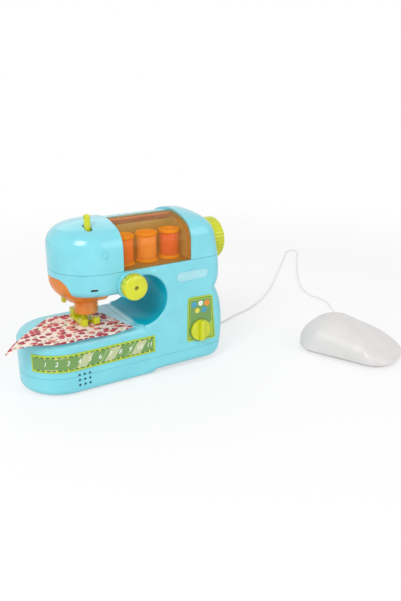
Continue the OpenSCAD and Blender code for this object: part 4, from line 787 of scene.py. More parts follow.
@dataclass
class Cord:
    """The cord from the machine to the pedal and the sleeves at its ends."""

    diameter: float = 2.4
    exit: Point = (105.02, 28.0, 14.0)
    lead: Point = (109.8, 28.0, 14.0)
    route: tuple[Point, ...] = (
        (117, 29, 12), (125, 31, 7), (134, 34, 2.6), (144, 37, 1.2), (156, 41, 1.2), (172, 48, 1.2), (196, 56, 1.2),
        (220, 68, 1.2), (242, 83, 1.2), (270, 106, 1.2), (300, 134, 1.2), (340, 174, 1.2), (378, 211, 1.2),
        (398, 231, 1.2), (411, 238, 1.2), (417, 231, 1.2), (409, 217, 1.2), (390, 196, 1.2), (370, 172, 1.2),
        (350, 147, 1.2), (330, 120, 1.2), (314, 97, 1.2), (304, 79, 1.2), (299, 64, 1.2), (298, 51, 1.2),
        (300, 40, 1.2), (297, 24, 1.2), (289, 8, 1.2), (280, -10, 1.2), (270, -31, 1.4), (264, -45, 2),
        (257.5, -55.8, 3))
    rings: int = 260
    # how far off the pedal's sleeve the last two points lie
    tail: Flat = (4.8, 0.02)
    sleeve_at: Point = (90.2, 28.0, 14.0)

    def build(self, pedal: "Pedal") -> None:
        """Lays the cord and puts a ribbed sleeve on each end."""
        tail = [pedal.point(pedal.gland_u, pedal.gland_end + off, pedal.gland_z) for off in self.tail]
        line = curve_through([self.exit, self.lead, *self.route, *tail], self.rings)
        obj = Form.tube(line, self.diameter / 2).piece("cord_line", CORD_SHEATH, "cord_white", Body.MACHINE, "cord",
                                                       sharp=60)
        sleeves = [self.sleeve("machine_sleeve", Facing.RIGHT, self.sleeve_at, 3.0, 12.0, 14.8, 1.9, "machine_gland"),
                   pedal.sleeve()]
        tuple(c * MM for c in self.exit)

    @staticmethod
    def sleeve(name: str, facing: Facing, at: Point, wide: float, straight: float, length: float, tip: float,
               replaced: str, turn: float = 0.0) -> bpy.types.Object:
        """A tapered strain relief with shallow rings.

        Args:
            name: name of the piece.
            facing: way that it runs.
            at: place of its inner end.
            wide: radius of its straight part.
            straight: length of that part.
            length: whole length.
            tip: radius at its outer end.
            replaced: solid that it stands for.
            turn: turn about the vertical in degrees.
        Returns:
            The piece.
        """
        profile: list[Flat] = [(0, 0), (wide, 0), (wide, straight)]
        rings = 3
        for i in range(rings):
            for step, dip in ((0.25, 0.0), (0.5, 0.25), (0.75, 0.0)):
                t = (i + step) / rings
                profile.append((mix(wide, tip, t) - dip, mix(straight, length, t)))
        profile += [(tip, length), (0, length)]
        form = Form.lathe(profile, facing, (0, 0, 0), 48).swing(turn).place(at=at)
        return form.piece(name, WHITE, "white_plastic", Body.MACHINE, replaced)


@dataclass
class Case:
    """The moulded case: front and rear shells under the seam, the top cap over it."""

    right_x: float = 100.0
    half_d: float = 40.0
    bed_h: float = 54.0
    crown_h: float = 151.0
    cap_top: float = 153.0
    seam_z: float = 110.5
    seam_gap: float = 0.16
    wall: float = 2.2
    edge_r: float = 8.0
    step_h: float = 3.5
    step_x: float = 27.0
    floor_gap: float = 0.6
    part_y: float = 8.0
    part_gap: float = 0.04
    waist_z: float = 78.0
    side_draw: float = 12.0
    plan_r: float = 12.0
    end_x: float = -60.0
    head_x: float = -25.0
    head_under: float = 88.0
    head_edge_r: float = 8.0
    shoulder_r: float = 18.0
    crown_r: float = 80.0
    throat_x: float = 9.5
    throat_r: float = 24.5
    throat_flare: float = 3.0
    window_x0: float = -10.0
    window_x1: float = 60.0
    knob_x: float = -4.0
    knob_z: float = 97.0
    boss_r: float = 13.5
    boss_front: float = 43.5
    chin_half: float = 24.8
    chin_x1: float = -16.7
    chin_top: float = 104.9
    chin_round: float = 13.0
    plate_inset: float = 9.0
    speaker_at: Flat = (-53.2, 15.3)
    speaker_pitch: float = 5.0
    speaker_hole_r: float = 1.25
    hole_depth: float = 8.0
    spindle_bore_r: float = 2.8
    knob_bore_l: float = 40.0
    dial_at: Flat = (69.0, 37.75)
    dial_bore_l: float = 6.2
    slot_at: Flat = (-38.0, 96.5)
    slot_size: Flat = (6.5, 2.2)
    cord_at: Point = (88.0, 28.0, 14.0)
    cord_bore: Flat = (3.1, 60.0)
    thumb_at: Point = (19.0, -40.5, 108.6)
    thumb_half: Point = (5.0, 1.3, 3.2)
    line_z: float = 19.0
    line_deep: float = 0.35
    line_half: float = 0.28
    bed_line_half: float = 0.22
    post_end: float = 38.6
    post_r: float = 3.6
    pilot_r: float = 1.4
    rear_post_r: float = 4.2
    screw_r: float = 1.6
    screw_head_r: float = 3.0
    screw_head_y: float = 12.0
    strip_y: float = 3.8
    bay_y: Flat = (-5.2, -3.6)
    bay_z: Flat = (109.3, 144.5)
    shaft_notch_half: float = 4.1
    shaft_notch_z: Flat = (108.0, 121.6)
    peg_at: Flat = (-34.5, -20.0)
    peg_slot: Flat = (14.0, 6.2)
    eye_ring_at: Flat = (-27.7, 127.7)
    eye_ring_r: Flat = (2.6, 3.1)
    # larger than the whole machine
    far: float = 200.0
    end_n: int = 72
    corner_n: int = 10
    edge_n: int = 8
    post_places: tuple[Flat, ...] = ((-60, 40), (-14, 36.7), (20, 36.7), (46, 14), (80, 16.2), (82, 69.1), (46, 67),
                                     (36, 97.2))
    pedestal_rows: tuple[tuple[float, float, float], ...] = (
        (0, 1, 0.75), (0.03, 0.5, 0.3), (0.115, 0.25, 0), (0.3, 0.06, 0), (0.49, 0, 0), (0.76, 0.15, 0), (1, 0.67, 0))
    column_rows: tuple[Flat, ...] = ((0, 0.67), (0.3, 0.36), (0.6, 0.32), (1, 0.42))
    cap_rows: tuple[Flat, ...] = ((0, 0.42), (0.35, 0.64), (0.666, 0.93), (0.815, 1.3), (0.927, 1.8), (0.975, 2.35),
                                  (1, 3.1))

    def base_ring(self, x1: float, z: float, inset: float) -> list[Point]:
        """Outline of the base at a height."""
        r = self.plan_r
        return level(arc(self.end_x, 0, self.half_d - inset, 90, 270, self.end_n)
                     + arc(x1 - r, r - self.half_d, r - inset, -90, 0, self.corner_n)
                     + arc(x1 - r, self.half_d - r, r - inset, 0, 90, self.corner_n), z)

    def base_rings(self, x1: float, z0: float, grow: float) -> list[list[Point]]:
        """Outlines of the base from the bottom edge rounding to the top one."""
        angles = [math.pi / 2 * i / self.edge_n for i in range(self.edge_n + 1)]
        low = [self.base_ring(x1, z0 + grow + self.edge_r * (1 - math.cos(a)),
                              grow + self.edge_r * (1 - math.sin(a))) for a in angles]
        high = [self.base_ring(x1, self.bed_h - grow - self.edge_r * (1 - math.cos(a)),
                               grow + self.edge_r * (1 - math.sin(a))) for a in reversed(angles)]
        return low + high

    def column_ring(self, x0: float, z: float, draw: float, half: float, grow: float) -> list[Point]:
        """Outline of the column at a height."""
        r = min(self.plan_r, half - self.wall)
        x1 = max(self.right_x - draw, x0 - grow + self.wall + 0.3 + r)
        return level([(x0, half - grow), (x0, grow - half)]
                     + arc(x1 - r, r - half, r - grow, -90, 0, self.corner_n)
                     + arc(x1 - r, half - r, r - grow, 0, 90, self.corner_n), z)

    def pedestal_rings(self, grow: float, n: int = 40) -> list[list[Point]]:
        """Outlines of the column's foot up to the waist."""
        draw = SideCurve([(s, d) for s, d, _ in self.pedestal_rows])
        edge = SideCurve([(s, e) for s, _, e in self.pedestal_rows])
        places = [(i / n) ** 1.6 for i in range(n + 1)]
        return [self.column_ring(self.throat_x + grow, mix(self.step_h + grow, self.waist_z, s),
                                 self.side_draw * draw(s), self.half_d - self.edge_r * edge(s), grow) for s in places]

    def upper_rings(self, grow: float, n: int = 12) -> list[list[Point]]:
        """Outlines of the column from the waist to the seam."""
        draw = SideCurve(self.column_rows)
        rings = [self.column_ring(self.throat_x + grow, mix(self.waist_z, self.seam_z - self.seam_gap, i / n),
                                  self.side_draw * draw(i / n), self.half_d, grow) for i in range(n + 1)]
        if grow:
            rings.append(self.column_ring(self.throat_x + grow, self.seam_z + OVER, self.side_draw * draw(1),
                                          self.half_d, grow))
        return rings

    def head_ring(self, x1: float, z: float, inset: float) -> list[Point]:
        """Outline of the arm and head at a height."""
        return level(arc(self.head_x, 0, self.half_d - inset, 90, 270, self.end_n)
                     + [(x1, inset - self.half_d), (x1, self.half_d - inset)], z)

    def arm_rings(self, grow: float) -> list[list[Point]]:
        """Outlines of the lower half of the arm and head."""
        angles = [math.pi / 2 * i / self.edge_n for i in range(self.edge_n + 1)]
        rings = [self.head_ring(self.window_x1, self.head_under + grow + self.head_edge_r * (1 - math.cos(a)),
                                grow + self.head_edge_r * (1 - math.sin(a))) for a in angles]
        top = self.seam_z + OVER if grow else self.seam_z - self.seam_gap
        return rings + [self.head_ring(self.window_x1, top, grow)]

    def shoulder_z(self, top: float) -> float:
        """Height where the side of the arm starts to round over."""
        return top - self.crown_r + math.sqrt((self.crown_r - self.shoulder_r) ** 2
                                              - (self.half_d - self.shoulder_r) ** 2)

    def section(self, z0: float, top: float, n: int = 14) -> list[Flat]:
        """Half of the arm's section as (half width, height), from z0 to near the top of the crown."""
        zs = self.shoulder_z(top)
        turn = math.degrees(math.atan2(zs - top + self.crown_r, self.half_d - self.shoulder_r))
        crown = arc(0, top - self.crown_r, self.crown_r, turn, 88, n)
        return ([(self.half_d, z0), (self.half_d, (z0 + zs) / 2)]
                + arc(self.half_d - self.shoulder_r, zs, self.shoulder_r, 0, turn, n) + crown[1:])

    def half_width(self, z: float, top: float) -> float:
        """Half width of the arm's section at a height."""
        zs = self.shoulder_z(top)
        rise = self.shoulder_r * math.sin(math.atan2(zs - top + self.crown_r, self.half_d - self.shoulder_r))
        if z <= zs:
            return self.half_d
        if z <= zs + rise:
            return self.half_d - self.shoulder_r + math.sqrt(max(0.0, self.shoulder_r ** 2 - (z - zs) ** 2))
        return math.sqrt(max(0.0, self.crown_r ** 2 - (z - top + self.crown_r) ** 2))

    def head_cap_rings(self, grow: float) -> list[list[Point]]:
        """Outlines of the head above the seam."""
        rows = self.section(self.seam_z + self.seam_gap, self.cap_top)
        x1 = self.window_x0 - grow
        rings = [self.head_ring(x1, self.seam_z - OVER, grow)] if grow else []
        for i, (half, z) in enumerate(rows):
            last = i == len(rows) - 1
            rings.append(self.head_ring(x1, z - (grow if i else 0), self.half_d - half + (0 if last else grow)))
        return rings

    def column_cap_rings(self, grow: float, n: int = 30) -> list[list[Point]]:
        """Outlines of the column above the seam."""
        draw = SideCurve(self.cap_rows)
        x0 = self.window_x1 + grow
        rings = [self.column_ring(x0, self.seam_z - OVER, self.side_draw * draw(0), self.half_d, grow)] if grow else []
        for i in range(n + 1):
            s = math.sin(math.pi / 2 * i / n)
            z = mix(self.seam_z + self.seam_gap, self.cap_top, s)
            half = max(self.half_width(min(z, self.cap_top - 0.09), self.cap_top), 3 * self.wall)
            rings.append(self.column_ring(x0, z - (grow if i else 0), self.side_draw * draw(s), half, grow))
        return rings

    def throat(self, grow: float) -> Form:
        """The space of the throat, open to the left."""
        z = self.bed_h + self.throat_r
        front = -self.half_d - OVER
        bore = Form.rod(self.throat_r + grow, -2 * front, Facing.BACK, (self.throat_x, front, z), 144)
        gap = Form.box((-self.far, front, self.bed_h - grow), (self.throat_x, -front, self.head_under + grow))
        return bore.add(gap)

    def throat_rims(self) -> list[Form]:
        """Rounded rims of the throat at the front and back."""
        f, r, z = self.throat_flare, self.throat_r, self.bed_h + self.throat_r
        bend = [(r + f - math.sqrt(max(0.0, f * f - (f - d) ** 2)), d) for d in (f * i / 8 for i in range(9))]
        profile = [(0, -1), (r + f, -1), *bend, (r, f + 1), (0, f + 1)]
        return [Form.lathe(profile, Facing.BACK, (self.throat_x, -self.half_d, z), 144),
                Form.lathe(profile, Facing.FRONT, (self.throat_x, self.half_d, z), 144)]

    def boss(self) -> Form:
        """The round boss behind the front knob."""
        depth = 20.0
        return Form.rod(self.boss_r, depth, Facing.FRONT, (self.knob_x, depth - self.boss_front, self.knob_z), 96, 1.0)

    def front_cuts(self) -> Form:
        """Speaker holes, head slot, bores of the knob and dial, thumb notch and the cord's bore."""
        cuts = Form()
        (x, z), step, front = self.speaker_at, self.speaker_pitch, -self.half_d - OVER
        for i in (-1, 0, 1):
            for j in (-1, 0, 1):
                cuts.gather(Form.rod(self.speaker_hole_r, self.hole_depth, Facing.BACK,
                                     (x + step * i, front, z + step * j), 20))
        for (x, z), y, length in (((self.knob_x, self.knob_z), -self.boss_front - OVER, self.knob_bore_l),
                                  (self.dial_at, front, self.dial_bore_l)):
            cuts.gather(Form.rod(self.spindle_bore_r, length, Facing.BACK, (x, y, z), 40))
        cuts.gather(Form.prism(stadium(*self.slot_at, *self.slot_size), self.hole_depth, Facing.FRONT,
                               (0, front + self.hole_depth, 0)),
                    Form.rod(*self.cord_bore, Facing.RIGHT, self.cord_at, 40))
        thumb = Form()
        bmesh.ops.create_uvsphere(thumb.bm, u_segments=40, v_segments=20, radius=1.0)
        bmesh.ops.scale(thumb.bm, vec=self.thumb_half, verts=thumb.bm.verts)
        return cuts.gather(thumb.place(at=self.thumb_at))

    def lines(self) -> list[Form]:
        """Fine mould lines: one round the base, one across the bed."""
        z, half = self.line_z, self.line_half
        x1 = self.right_x - self.side_draw * SideCurve([(s, d) for s, d, _ in self.pedestal_rows])(
            (z - self.step_h) / (self.waist_z - self.step_h))
        inner = Form.loft([self.base_ring(x1, z - OVER, self.line_deep), self.base_ring(x1, z + OVER, self.line_deep)])
        band = Form.box((-120, -60, z - half), (120, 60, z + half)).cut(inner)
        seam = Form.box((-self.bed_line_half, -60, self.bed_h - 0.5), (self.bed_line_half, 60, self.bed_h + 3))
        return [band, seam]

    def chin_opening(self) -> Form:
        """The opening for the orange chin, with rounded upper corners."""
        h, low = self.chin_half, self.bed_h + self.wall
        r = self.chin_round
        outline = ([(-h, low), (h, low)] + arc(h - r, self.chin_top - r, r, 0, 90, 16)
                   + arc(r - h, self.chin_top - r, r, 90, 180, 16))
        return Form.prism(outline, 100 + self.chin_x1, Facing.RIGHT, (-100, 0, 0))

    def lower(self) -> Form:
        """Both lower shells in one."""
        base_x1 = self.right_x - self.side_draw
        skins = [[self.base_rings(self.step_x, self.floor_gap, g), self.base_rings(base_x1, self.step_h, g),
                  self.pedestal_rings(g), self.upper_rings(g), self.arm_rings(g)] for g in (0.0, self.wall)]
        outer, inner = ([Form.loft(rings) for rings in skin] for skin in skins)
        solid = outer[0].add(*outer[1:]).cut(self.throat(0), *self.throat_rims(), *self.lines()).add(self.boss())
        room = inner[0].add(*inner[1:]).cut(self.throat(self.wall))
        r = self.half_d - self.plate_inset
        plate = Form.prism(arc(self.end_x, 0, r, 90, 270, self.end_n)
                           + [(base_x1 - self.plate_inset, -r), (base_x1 - self.plate_inset, r)],
                           self.step_h + self.wall + 2 * OVER, Facing.UP, (0, 0, -OVER))
        return solid.cut(room, plate, self.chin_opening(), self.front_cuts())

    def posts(self, y0: float, y1: float, radius: float) -> Form:
        """Round posts or bores at the screw places."""
        made = Form()
        for x, z in self.post_places:
            made.gather(Form.rod(radius, y1 - y0, Facing.BACK, (x, y0, z), 28))
        return made

    def top_cap(self) -> Form:
        """Head and column tops, the strip behind the window and the wall behind the spools."""
        solid = Form.loft(self.head_cap_rings(0)).cut(Form.loft(self.head_cap_rings(self.wall)))
        column = Form.loft(self.column_cap_rings(0)).cut(Form.loft(self.column_cap_rings(self.wall)))
        rows = self.section(self.seam_z + self.seam_gap, self.crown_h)
        rise = self.crown_h - self.seam_z
        inside = [(w - self.wall, z - self.wall * (z - self.seam_z) / rise) for w, z in reversed(rows)]
        strip = Form.prism([(self.strip_y, self.crown_h - self.wall), (self.strip_y, self.crown_h)]
                           + [(w, z) for w, z in reversed(rows) if w > self.strip_y]
                           + [p for p in reversed(inside) if p[0] > self.strip_y],
                           self.window_x1 - self.window_x0 + self.wall, Facing.RIGHT,
                           (self.window_x0 - self.wall / 2, 0, 0))
        (y0, y1), (z0, z1) = self.bay_y, self.bay_z
        bay = Form.box((self.window_x0 - self.wall / 2, y0, z0), (self.window_x1 + self.wall / 2, y1, z1))
        half, (z0, z1) = self.shaft_notch_half, self.shaft_notch_z
        notch = Form.box((self.head_x, -half, z0), (150, half, z1))
        slot = Form.prism(stadium(*self.peg_at, *self.peg_slot), 40, Facing.UP, (0, 0, 132))
        slot.swing(90, (*self.peg_at, 0))
        (x, z), (r0, r1) = self.eye_ring_at, self.eye_ring_r
        ring = Form.lathe([(r0, 0), (r1, 0), (r1, 60), (r0, 60)], Facing.FRONT, (x, 0, z), 40, ring=True)
        deep = Form.loft([[(x, y * 0.992, z) for x, y, z in points] for points in self.head_cap_rings(0)])
        return solid.add(column, strip, bay).cut(notch, slot, ring.cut(deep))

    def dress(self) -> None:
        """Builds the three mouldings."""
        lower, far = self.lower(), self.far
        front_y, rear_y = self.part_y - self.part_gap, self.part_y + self.part_gap
        front = lower.meet(Form.box((-far, -far, -10), (far, front_y, far)))
        front = front.add(self.posts(-self.post_end, front_y, self.post_r)).cut(self.posts(-2, 10, self.pilot_r))
        front.piece("front_shell_moulding", AQUA_CASE_SHADED_THROAT, "aqua_plastic", Body.MACHINE, "front_shell")
        rear = lower.meet(Form.box((-far, rear_y, -10), (far, far, far)))
        rear = rear.add(self.posts(rear_y, self.post_end, self.rear_post_r)).cut(
            self.posts(0, 80, self.screw_r), self.posts(self.screw_head_y, 80, self.screw_head_r))
        rear.piece("rear_shell_moulding", AQUA_CASE_SHADED_THROAT, "aqua_plastic", Body.MACHINE, "rear_shell")
        self.top_cap().piece("top_cap_moulding", AQUA, "aqua_plastic", Body.MACHINE, "top_cap")


@dataclass
class Head:
    """What hangs from the head: chin, guard, presser foot, lifter and thread peg."""

    needle_x: float = -34.5
    guard_y: float = -5.5
    guard_r: float = 11.0
    chin_low: float = 79.5
    chin_top: float = 104.6
    chin_half: float = 24.5
    chin_x0: float = -65.0
    chin_x1: float = -17.01
    chin_wall: float = 1.6
    end_r: float = 40.0
    corner_r: float = 12.7
    side_rows: tuple[Flat, ...] = ((0, 0.28), (0.1, 0.22), (0.26, 0.13), (0.42, 0.065), (0.7, 0.012), (1, 0.004))
    back_rows: tuple[Flat, ...] = ((0, 0.935), (0.1, 0.955), (0.26, 0.98), (0.42, 1.0), (0.7, 0.4), (1, 0.4))
    width_rows: tuple[Flat, ...] = ((0, 0.755), (0.1, 0.88), (0.26, 0.97), (0.42, 1.0), (1, 1.0))
    lower_round: float = 9.0
    foot_z: float = 55.3
    foot_half: float = 9.0
    block_h: float = 10.6
    bar_y: float = -1.0
    lifter_at: Flat = (-22.805, 94.0)
    lifter_reach: float = 29.0
    lifter_low: float = 75.0
    lever_half: float = 2.0
    pin_bore: Flat = (1.25, 12.0)
    peg_y: float = -20.0
    peg_half: Flat = (2.5, 2.7)
    peg_z: Flat = (125.3, 161.5)
    peg_pin_z: float = 128.0
    peg_eye_z: float = 159.0

    def chin_ring(self, t: float, grow: float, open_back: bool, n: int = 40) -> list[Point]:
        """Outline of the chin at a share of its height.

        Args:
            t: share of the height.
            grow: inset of the inner skin.
            open_back: whether the inner skin runs out at the back.
            n: points across the front.
        Returns:
            The outline.
        """
        z = mix(self.chin_low, self.chin_top, t) + grow
        half = self.chin_half * SideCurve(self.width_rows)(min(t, 1.0)) - grow
        drop = max(0.0, min(z, self.chin_top - 0.2) - (self.chin_top - self.corner_r))
        half -= self.corner_r - math.sqrt(self.corner_r ** 2 - drop ** 2)
        half = max(half, 6.0)
        x0 = mix(self.chin_x0, self.chin_x1, SideCurve(self.side_rows)(min(t, 1.0))) + grow
        back = 1.1 if open_back and t > 0.6 else SideCurve(self.back_rows)(min(t, 1.0))
        x1 = mix(self.chin_x0, self.chin_x1, back) - (grow if back <= 1 else 0)
        turn = self.lower_round * min(1.0, max(0.0, (90 - z) / 8))
        points = []
        for i in range(n + 1):
            share = math.cos(math.pi * i / n)
            y = half * share
            x = x0 + self.end_r - math.sqrt(self.end_r ** 2 - y * y)
            points.append((x + turn * (1 - (1 - abs(share) ** 4) ** 0.25), y))
        return level(points + [(x1, -half), (x1, half)], z)

    def chin(self) -> None:
        """The cloudy orange cover under the head."""
        outer = Form.loft([self.chin_ring(math.sin(math.pi / 2 * i / 22) ** 1.3, 0, False) for i in range(23)])
        inner = Form.loft([self.chin_ring(1.15 * i / 22, self.chin_wall, True) for i in range(23)])
        hole = Form.rod(self.guard_r + 0.1, 28, Facing.UP, (self.needle_x, self.guard_y, 60), 72)
        slot = Form.box((-100, 3.7, 54), (-45.8, 8.3, 100))
        outer.cut(inner, hole, slot).piece("chin_cover", CHIN, "orange_clear", Body.MACHINE, "light_cover")

    def guard(self) -> None:
        """The clear sleeve round the needle."""
        r, t = self.guard_r, 1.5
        rows = [(r - t, 66.5), (r, 66.5), (r, 81.4), (r + 1.2, 81.4), (r + 1.2, 82.9), (r - t, 82.9)]
        Form.lathe(fillet(rows, 0.5, 4), Facing.UP, (self.needle_x, self.guard_y, 0), 96, ring=True).piece(
            "needle_guard_sleeve", CHIN, "orange_clear", Body.MACHINE, "needle_guard")

    def foot(self) -> None:
        """The lime presser foot with two toes and a tall back block."""
        x, z, half, high = self.needle_x, self.foot_z, self.foot_half, self.block_h
        sole = Form.box((x - half, -13, z), (x + half, 16, z + 3), 0.7)
        toes = [Form.box((x + s - 3, -16, z), (x + s + 3, -10, z + 6.6), 0.8) for s in (-6, 6)]
        block = Form.box((x - half, 7, z), (x + half, 16, z + high), 0.9)
        shank = Form.rod(4, high, Facing.UP, (x, self.bar_y, z), 48, 0.6, 3)
        foot = sole.add(*toes, block, shank)
        foot = foot.cut(Form.box((x - 3, -18, z - 2), (x + 3, -7, z + 40), 0.4),
                        Form.rod(2.02, 20, Facing.UP, (x, self.bar_y, z + 3)),
                        Form.box((x - half / 2, 5, z + 6), (x + half / 2, 18, z + 40), 0.6))
        foot.piece("presser_foot_lime", LIME, "lime_plastic", Body.PRESSER, "presser_foot", sharp=40)

    def lifter(self) -> None:
        """The lime lever that hangs at the left of the chin."""
        (px, pz), h, low = self.lifter_at, self.lever_half, self.lifter_low
        x = px - self.lifter_reach
        outline = fillet([(x - h, low), (x + h, low), (x + h, pz - h), (px, pz - h), (px, pz + h), (x - h, pz + h)],
                         1.6, 5)
        lever = Form.prism(outline, 2 * h, Facing.FRONT, (0, 8, 0)).round_edges(0.5, 2, 60)
        boss = Form.rod(3.2, 2 * h, Facing.BACK, (px, 4, pz), 48, 0.4, 2)
        bore = Form.rod(*self.pin_bore, Facing.BACK, (px, 0, pz))
        lever.add(boss).cut(bore).piece("lifter_lever_lime", LIME, "lime_plastic", Body.LIFTER, "lifter_lever")

    def thread_peg(self) -> None:
        """The lime peg that rocks on top of the head, with its thread eye."""
        x, y, (a, b), (z0, z1) = self.needle_x, self.peg_y, self.peg_half, self.peg_z
        peg = Form.box((x - a, y - b, z0), (x + a, y + b, z1), 1.3, 4)
        eye = Form.rod(1.0, 12, Facing.RIGHT, (x - 6, y, self.peg_eye_z), 24, 0.1, 1)
        bore = Form.rod(*self.pin_bore, Facing.RIGHT, (x - 6, y, self.peg_pin_z))
        peg.cut(eye, bore).piece("take_up_peg", LIME, "lime_plastic", Body.TAKE_UP, "take_up_lever")

    def dress(self) -> None:
        """Builds all of it."""
        for make in (self.chin, self.guard, self.foot, self.lifter, self.thread_peg):
            make()


@dataclass
class Controls:
    """Handwheel, front knob, selector dial with its panel, ruler label and bare plaque."""

    wheel_x: float = 97.8
    wheel_z: float = 117.5
    wheel_r: float = 21.0
    wheel_w: float = 14.0
    wheel_grooves: int = 36
    knob_at: Point = (-4.0, -43.8, 97.0)
    knob_r: float = 12.0
    knob_w: float = 9.0
    knob_grooves: int = 14
    dial_at: Point = (69.0, -40.9, 37.75)
    dial_r: float = 10.6
    face_y: float = -40.0
    bore_r: float = 2.52
    hub: Flat = (7.0, 2.2)
    dial_bore_r: float = 2.8
    dial_ring_r: float = 12.4
    grip_half: Flat = (2.25, 14.0)
    grip_h: float = 6.5
    panel_corners: tuple[Flat, ...] = ((54.5, 27.0), (87.4, 24.9), (83.5, 71.8), (56.0, 72.8))
    panel_centre: Flat = (70.6, 49.5)
    field_corners: tuple[Flat, ...] = ((57.6, 44.0), (83.0, 43.4), (81.2, 68.8), (58.5, 69.5))
    # place, radius and ink of each printed button
    buttons: tuple[tuple[float, float, float, Finish], ...] = (
        (62.6, 64.6, 3.0, INK_BLUE), (70.0, 65.0, 2.5, INK_WHITE), (77.2, 64.2, 3.0, INK_ORANGE),
        (66.2, 58.0, 2.5, INK_YELLOW), (74.0, 57.6, 2.9, INK_BLUE))
    button_hole: Flat = (0.38, 0.7)
    plaque_at: Flat = (61.0, 95.3)
    plaque_size: Flat = (34.0, 9.0)
    plaque_rim: float = 0.9
    label_x1: float = 19.0
    label_z: Flat = (25.5, 42.5)
    label_wrap: float = 60.0
    end_x: float = -60.0
    end_r: float = 40.0
    number_x: float = 12.6
    number_step: float = 10.11
    numbers: int = 11

    def wheel(self) -> None:
        """The grooved handwheel."""
        r, w, (hub_r, hub_l) = self.wheel_r, self.wheel_w, self.hub
        rows = [(self.bore_r, -hub_l), (hub_r, -hub_l), (hub_r, 0), (r * 0.9, 0), (r, w * 0.12), (r, w * 0.82),
                (r * 0.92, w), (r * 0.7, w), (r * 0.62, w * 0.86), (self.bore_r, w * 0.86)]
        wheel = Form.lathe(fillet(rows, 1.2, 5), Facing.RIGHT, (self.wheel_x, 0, self.wheel_z), 144, ring=True)
        cap = Form.rod(4, 4, Facing.RIGHT, (self.wheel_x + 7, 0, self.wheel_z), 48)
        cuts = Form()
        for y, z in arc(0, self.wheel_z, r, 90, 450, self.wheel_grooves)[:-1]:
            cuts.gather(Form.rod(0.9, 13.4, Facing.RIGHT, (self.wheel_x - OVER, y, z), 14, 0.6, 3))
        wheel.add(cap).cut(cuts).piece("handwheel_lime", LIME, "lime_plastic", Body.DRIVE, "handwheel")

    def knob(self) -> None:
        """The knurled thread knob on the front."""
        r, w, (x, y, z) = self.knob_r, self.knob_w, self.knob_at
        rows = [(self.bore_r, 0), (r, 0), (r, w * 0.72), (r * 0.93, w * 0.87), (r * 0.7, w * 0.96), (r * 0.4, w),
                (2.0, w), (2.0, w * 0.6), (self.bore_r, w * 0.6)]
        knob = Form.lathe(fillet(rows, 0.9, 4), Facing.FRONT, self.knob_at, 120, ring=True)
        cuts = Form()
        for groove_x, groove_z in arc(x, z, r, 0, 360, self.knob_grooves)[:-1]:
            cuts.gather(Form.lathe([(0, 0), (1.05, 0), (1.05, 8.6), (0.7, 9.6), (0, 9.9)], Facing.FRONT,
                                   (groove_x, y + OVER, groove_z), 14))
        knob.cut(cuts).piece("thread_knob_lime", LIME, "lime_plastic", Body.KNOB, "thread_knob")

    def dial(self) -> None:
        """The selector dial with its grip bar."""
        (x, y, z), r, h, (a, b) = self.dial_at, self.dial_r, self.grip_h, self.grip_half
        disc = Form.rod(r, 3, Facing.FRONT, self.dial_at, 120, 0.8, 5)
        bar = Form.box((x - a, y - h, z - b), (x + a, y - 1, z + b), 1.0, 4)
        bar = bar.meet(Form.rod(r - 0.3, h, Facing.FRONT, self.dial_at, 120, 1.2, 5))
        stem = Form.rod(2.5, 6.2, Facing.BACK, (x, y - 1.5, z), 40)
        disc.add(bar, stem).piece("selector_dial_lime", LIME, "lime_plastic", Body.DIAL, "selector_dial")

    def plate(self, name: str, outline: Sequence[Flat], lift: float, thick: float, finish: Finish, slot: str,
              *nodes: str) -> None:
        """A thin flat piece on the front face.

        Args:
            name: name of the piece.
            outline: its outline in X and Z.
            lift: how far its front stands off the case.
            thick: its thickness.
            finish: its material.
            slot: passed on to the piece, which doesn't use it.
            nodes: solids that it stands for.
        """
        x, _, z = self.dial_at
        bore = Form.rod(self.dial_bore_r, 8, Facing.BACK, (x, self.face_y - 4, z))
        form = Form.prism(outline, thick, Facing.FRONT, (0, self.face_y - lift + thick, 0)).cut(bore)
        form.piece(name, finish, slot, Body.MACHINE, *nodes)

    def panel(self) -> None:
        """The panel round the dial: lime plate, green field and a group of buttons as its print."""
        self.plate("panel_plate_lime", fillet(self.panel_corners, 3.2, 6), 0.6, 0.58, LABEL_EDGE, "panel_print",
                   "panel_plate")
        cx, cz = self.panel_centre
        for name, in_x, in_z, radius, lift, ink in (("panel_line", 0.09, 0.07, 2.6, 0.64, INK_DARK),
                                                    ("panel_ground", 0.125, 0.095, 2.2, 0.68, LABEL_EDGE)):
            inner = [(mix(x, cx, in_x), mix(z, cz, in_z)) for x, z in self.panel_corners]
            self.plate(name, fillet(inner, radius, 6), lift, 0.06, ink, "panel_print")
        self.plate("panel_field", fillet(self.field_corners, 2.0, 6), 0.72, 0.06, LABEL_FIELD, "panel_print")
        x, _, z = self.dial_at
        self.plate("dial_ring", arc(x, z, self.dial_ring_r, 0, 355, 71), 0.77, 0.04, LABEL_FIELD, "panel_print")
        hole_r, off = self.button_hole
        for i, (x, z, r, ink) in enumerate(self.buttons):
            disc = Form.rod(r, 0.08, Facing.FRONT, (x, self.face_y - 0.71, z), 40, 0.02, 1)
            holes = Form()
            for dx, dz in ((-off, -off), (off, -off), (-off, off), (off, off)):
                holes.gather(Form.rod(hole_r, 3, Facing.FRONT, (x + dx, self.face_y + 0.5, z + dz), 14))
            disc.cut(holes).piece(f"panel_button_{i}", ink, "panel_print", Body.MACHINE)

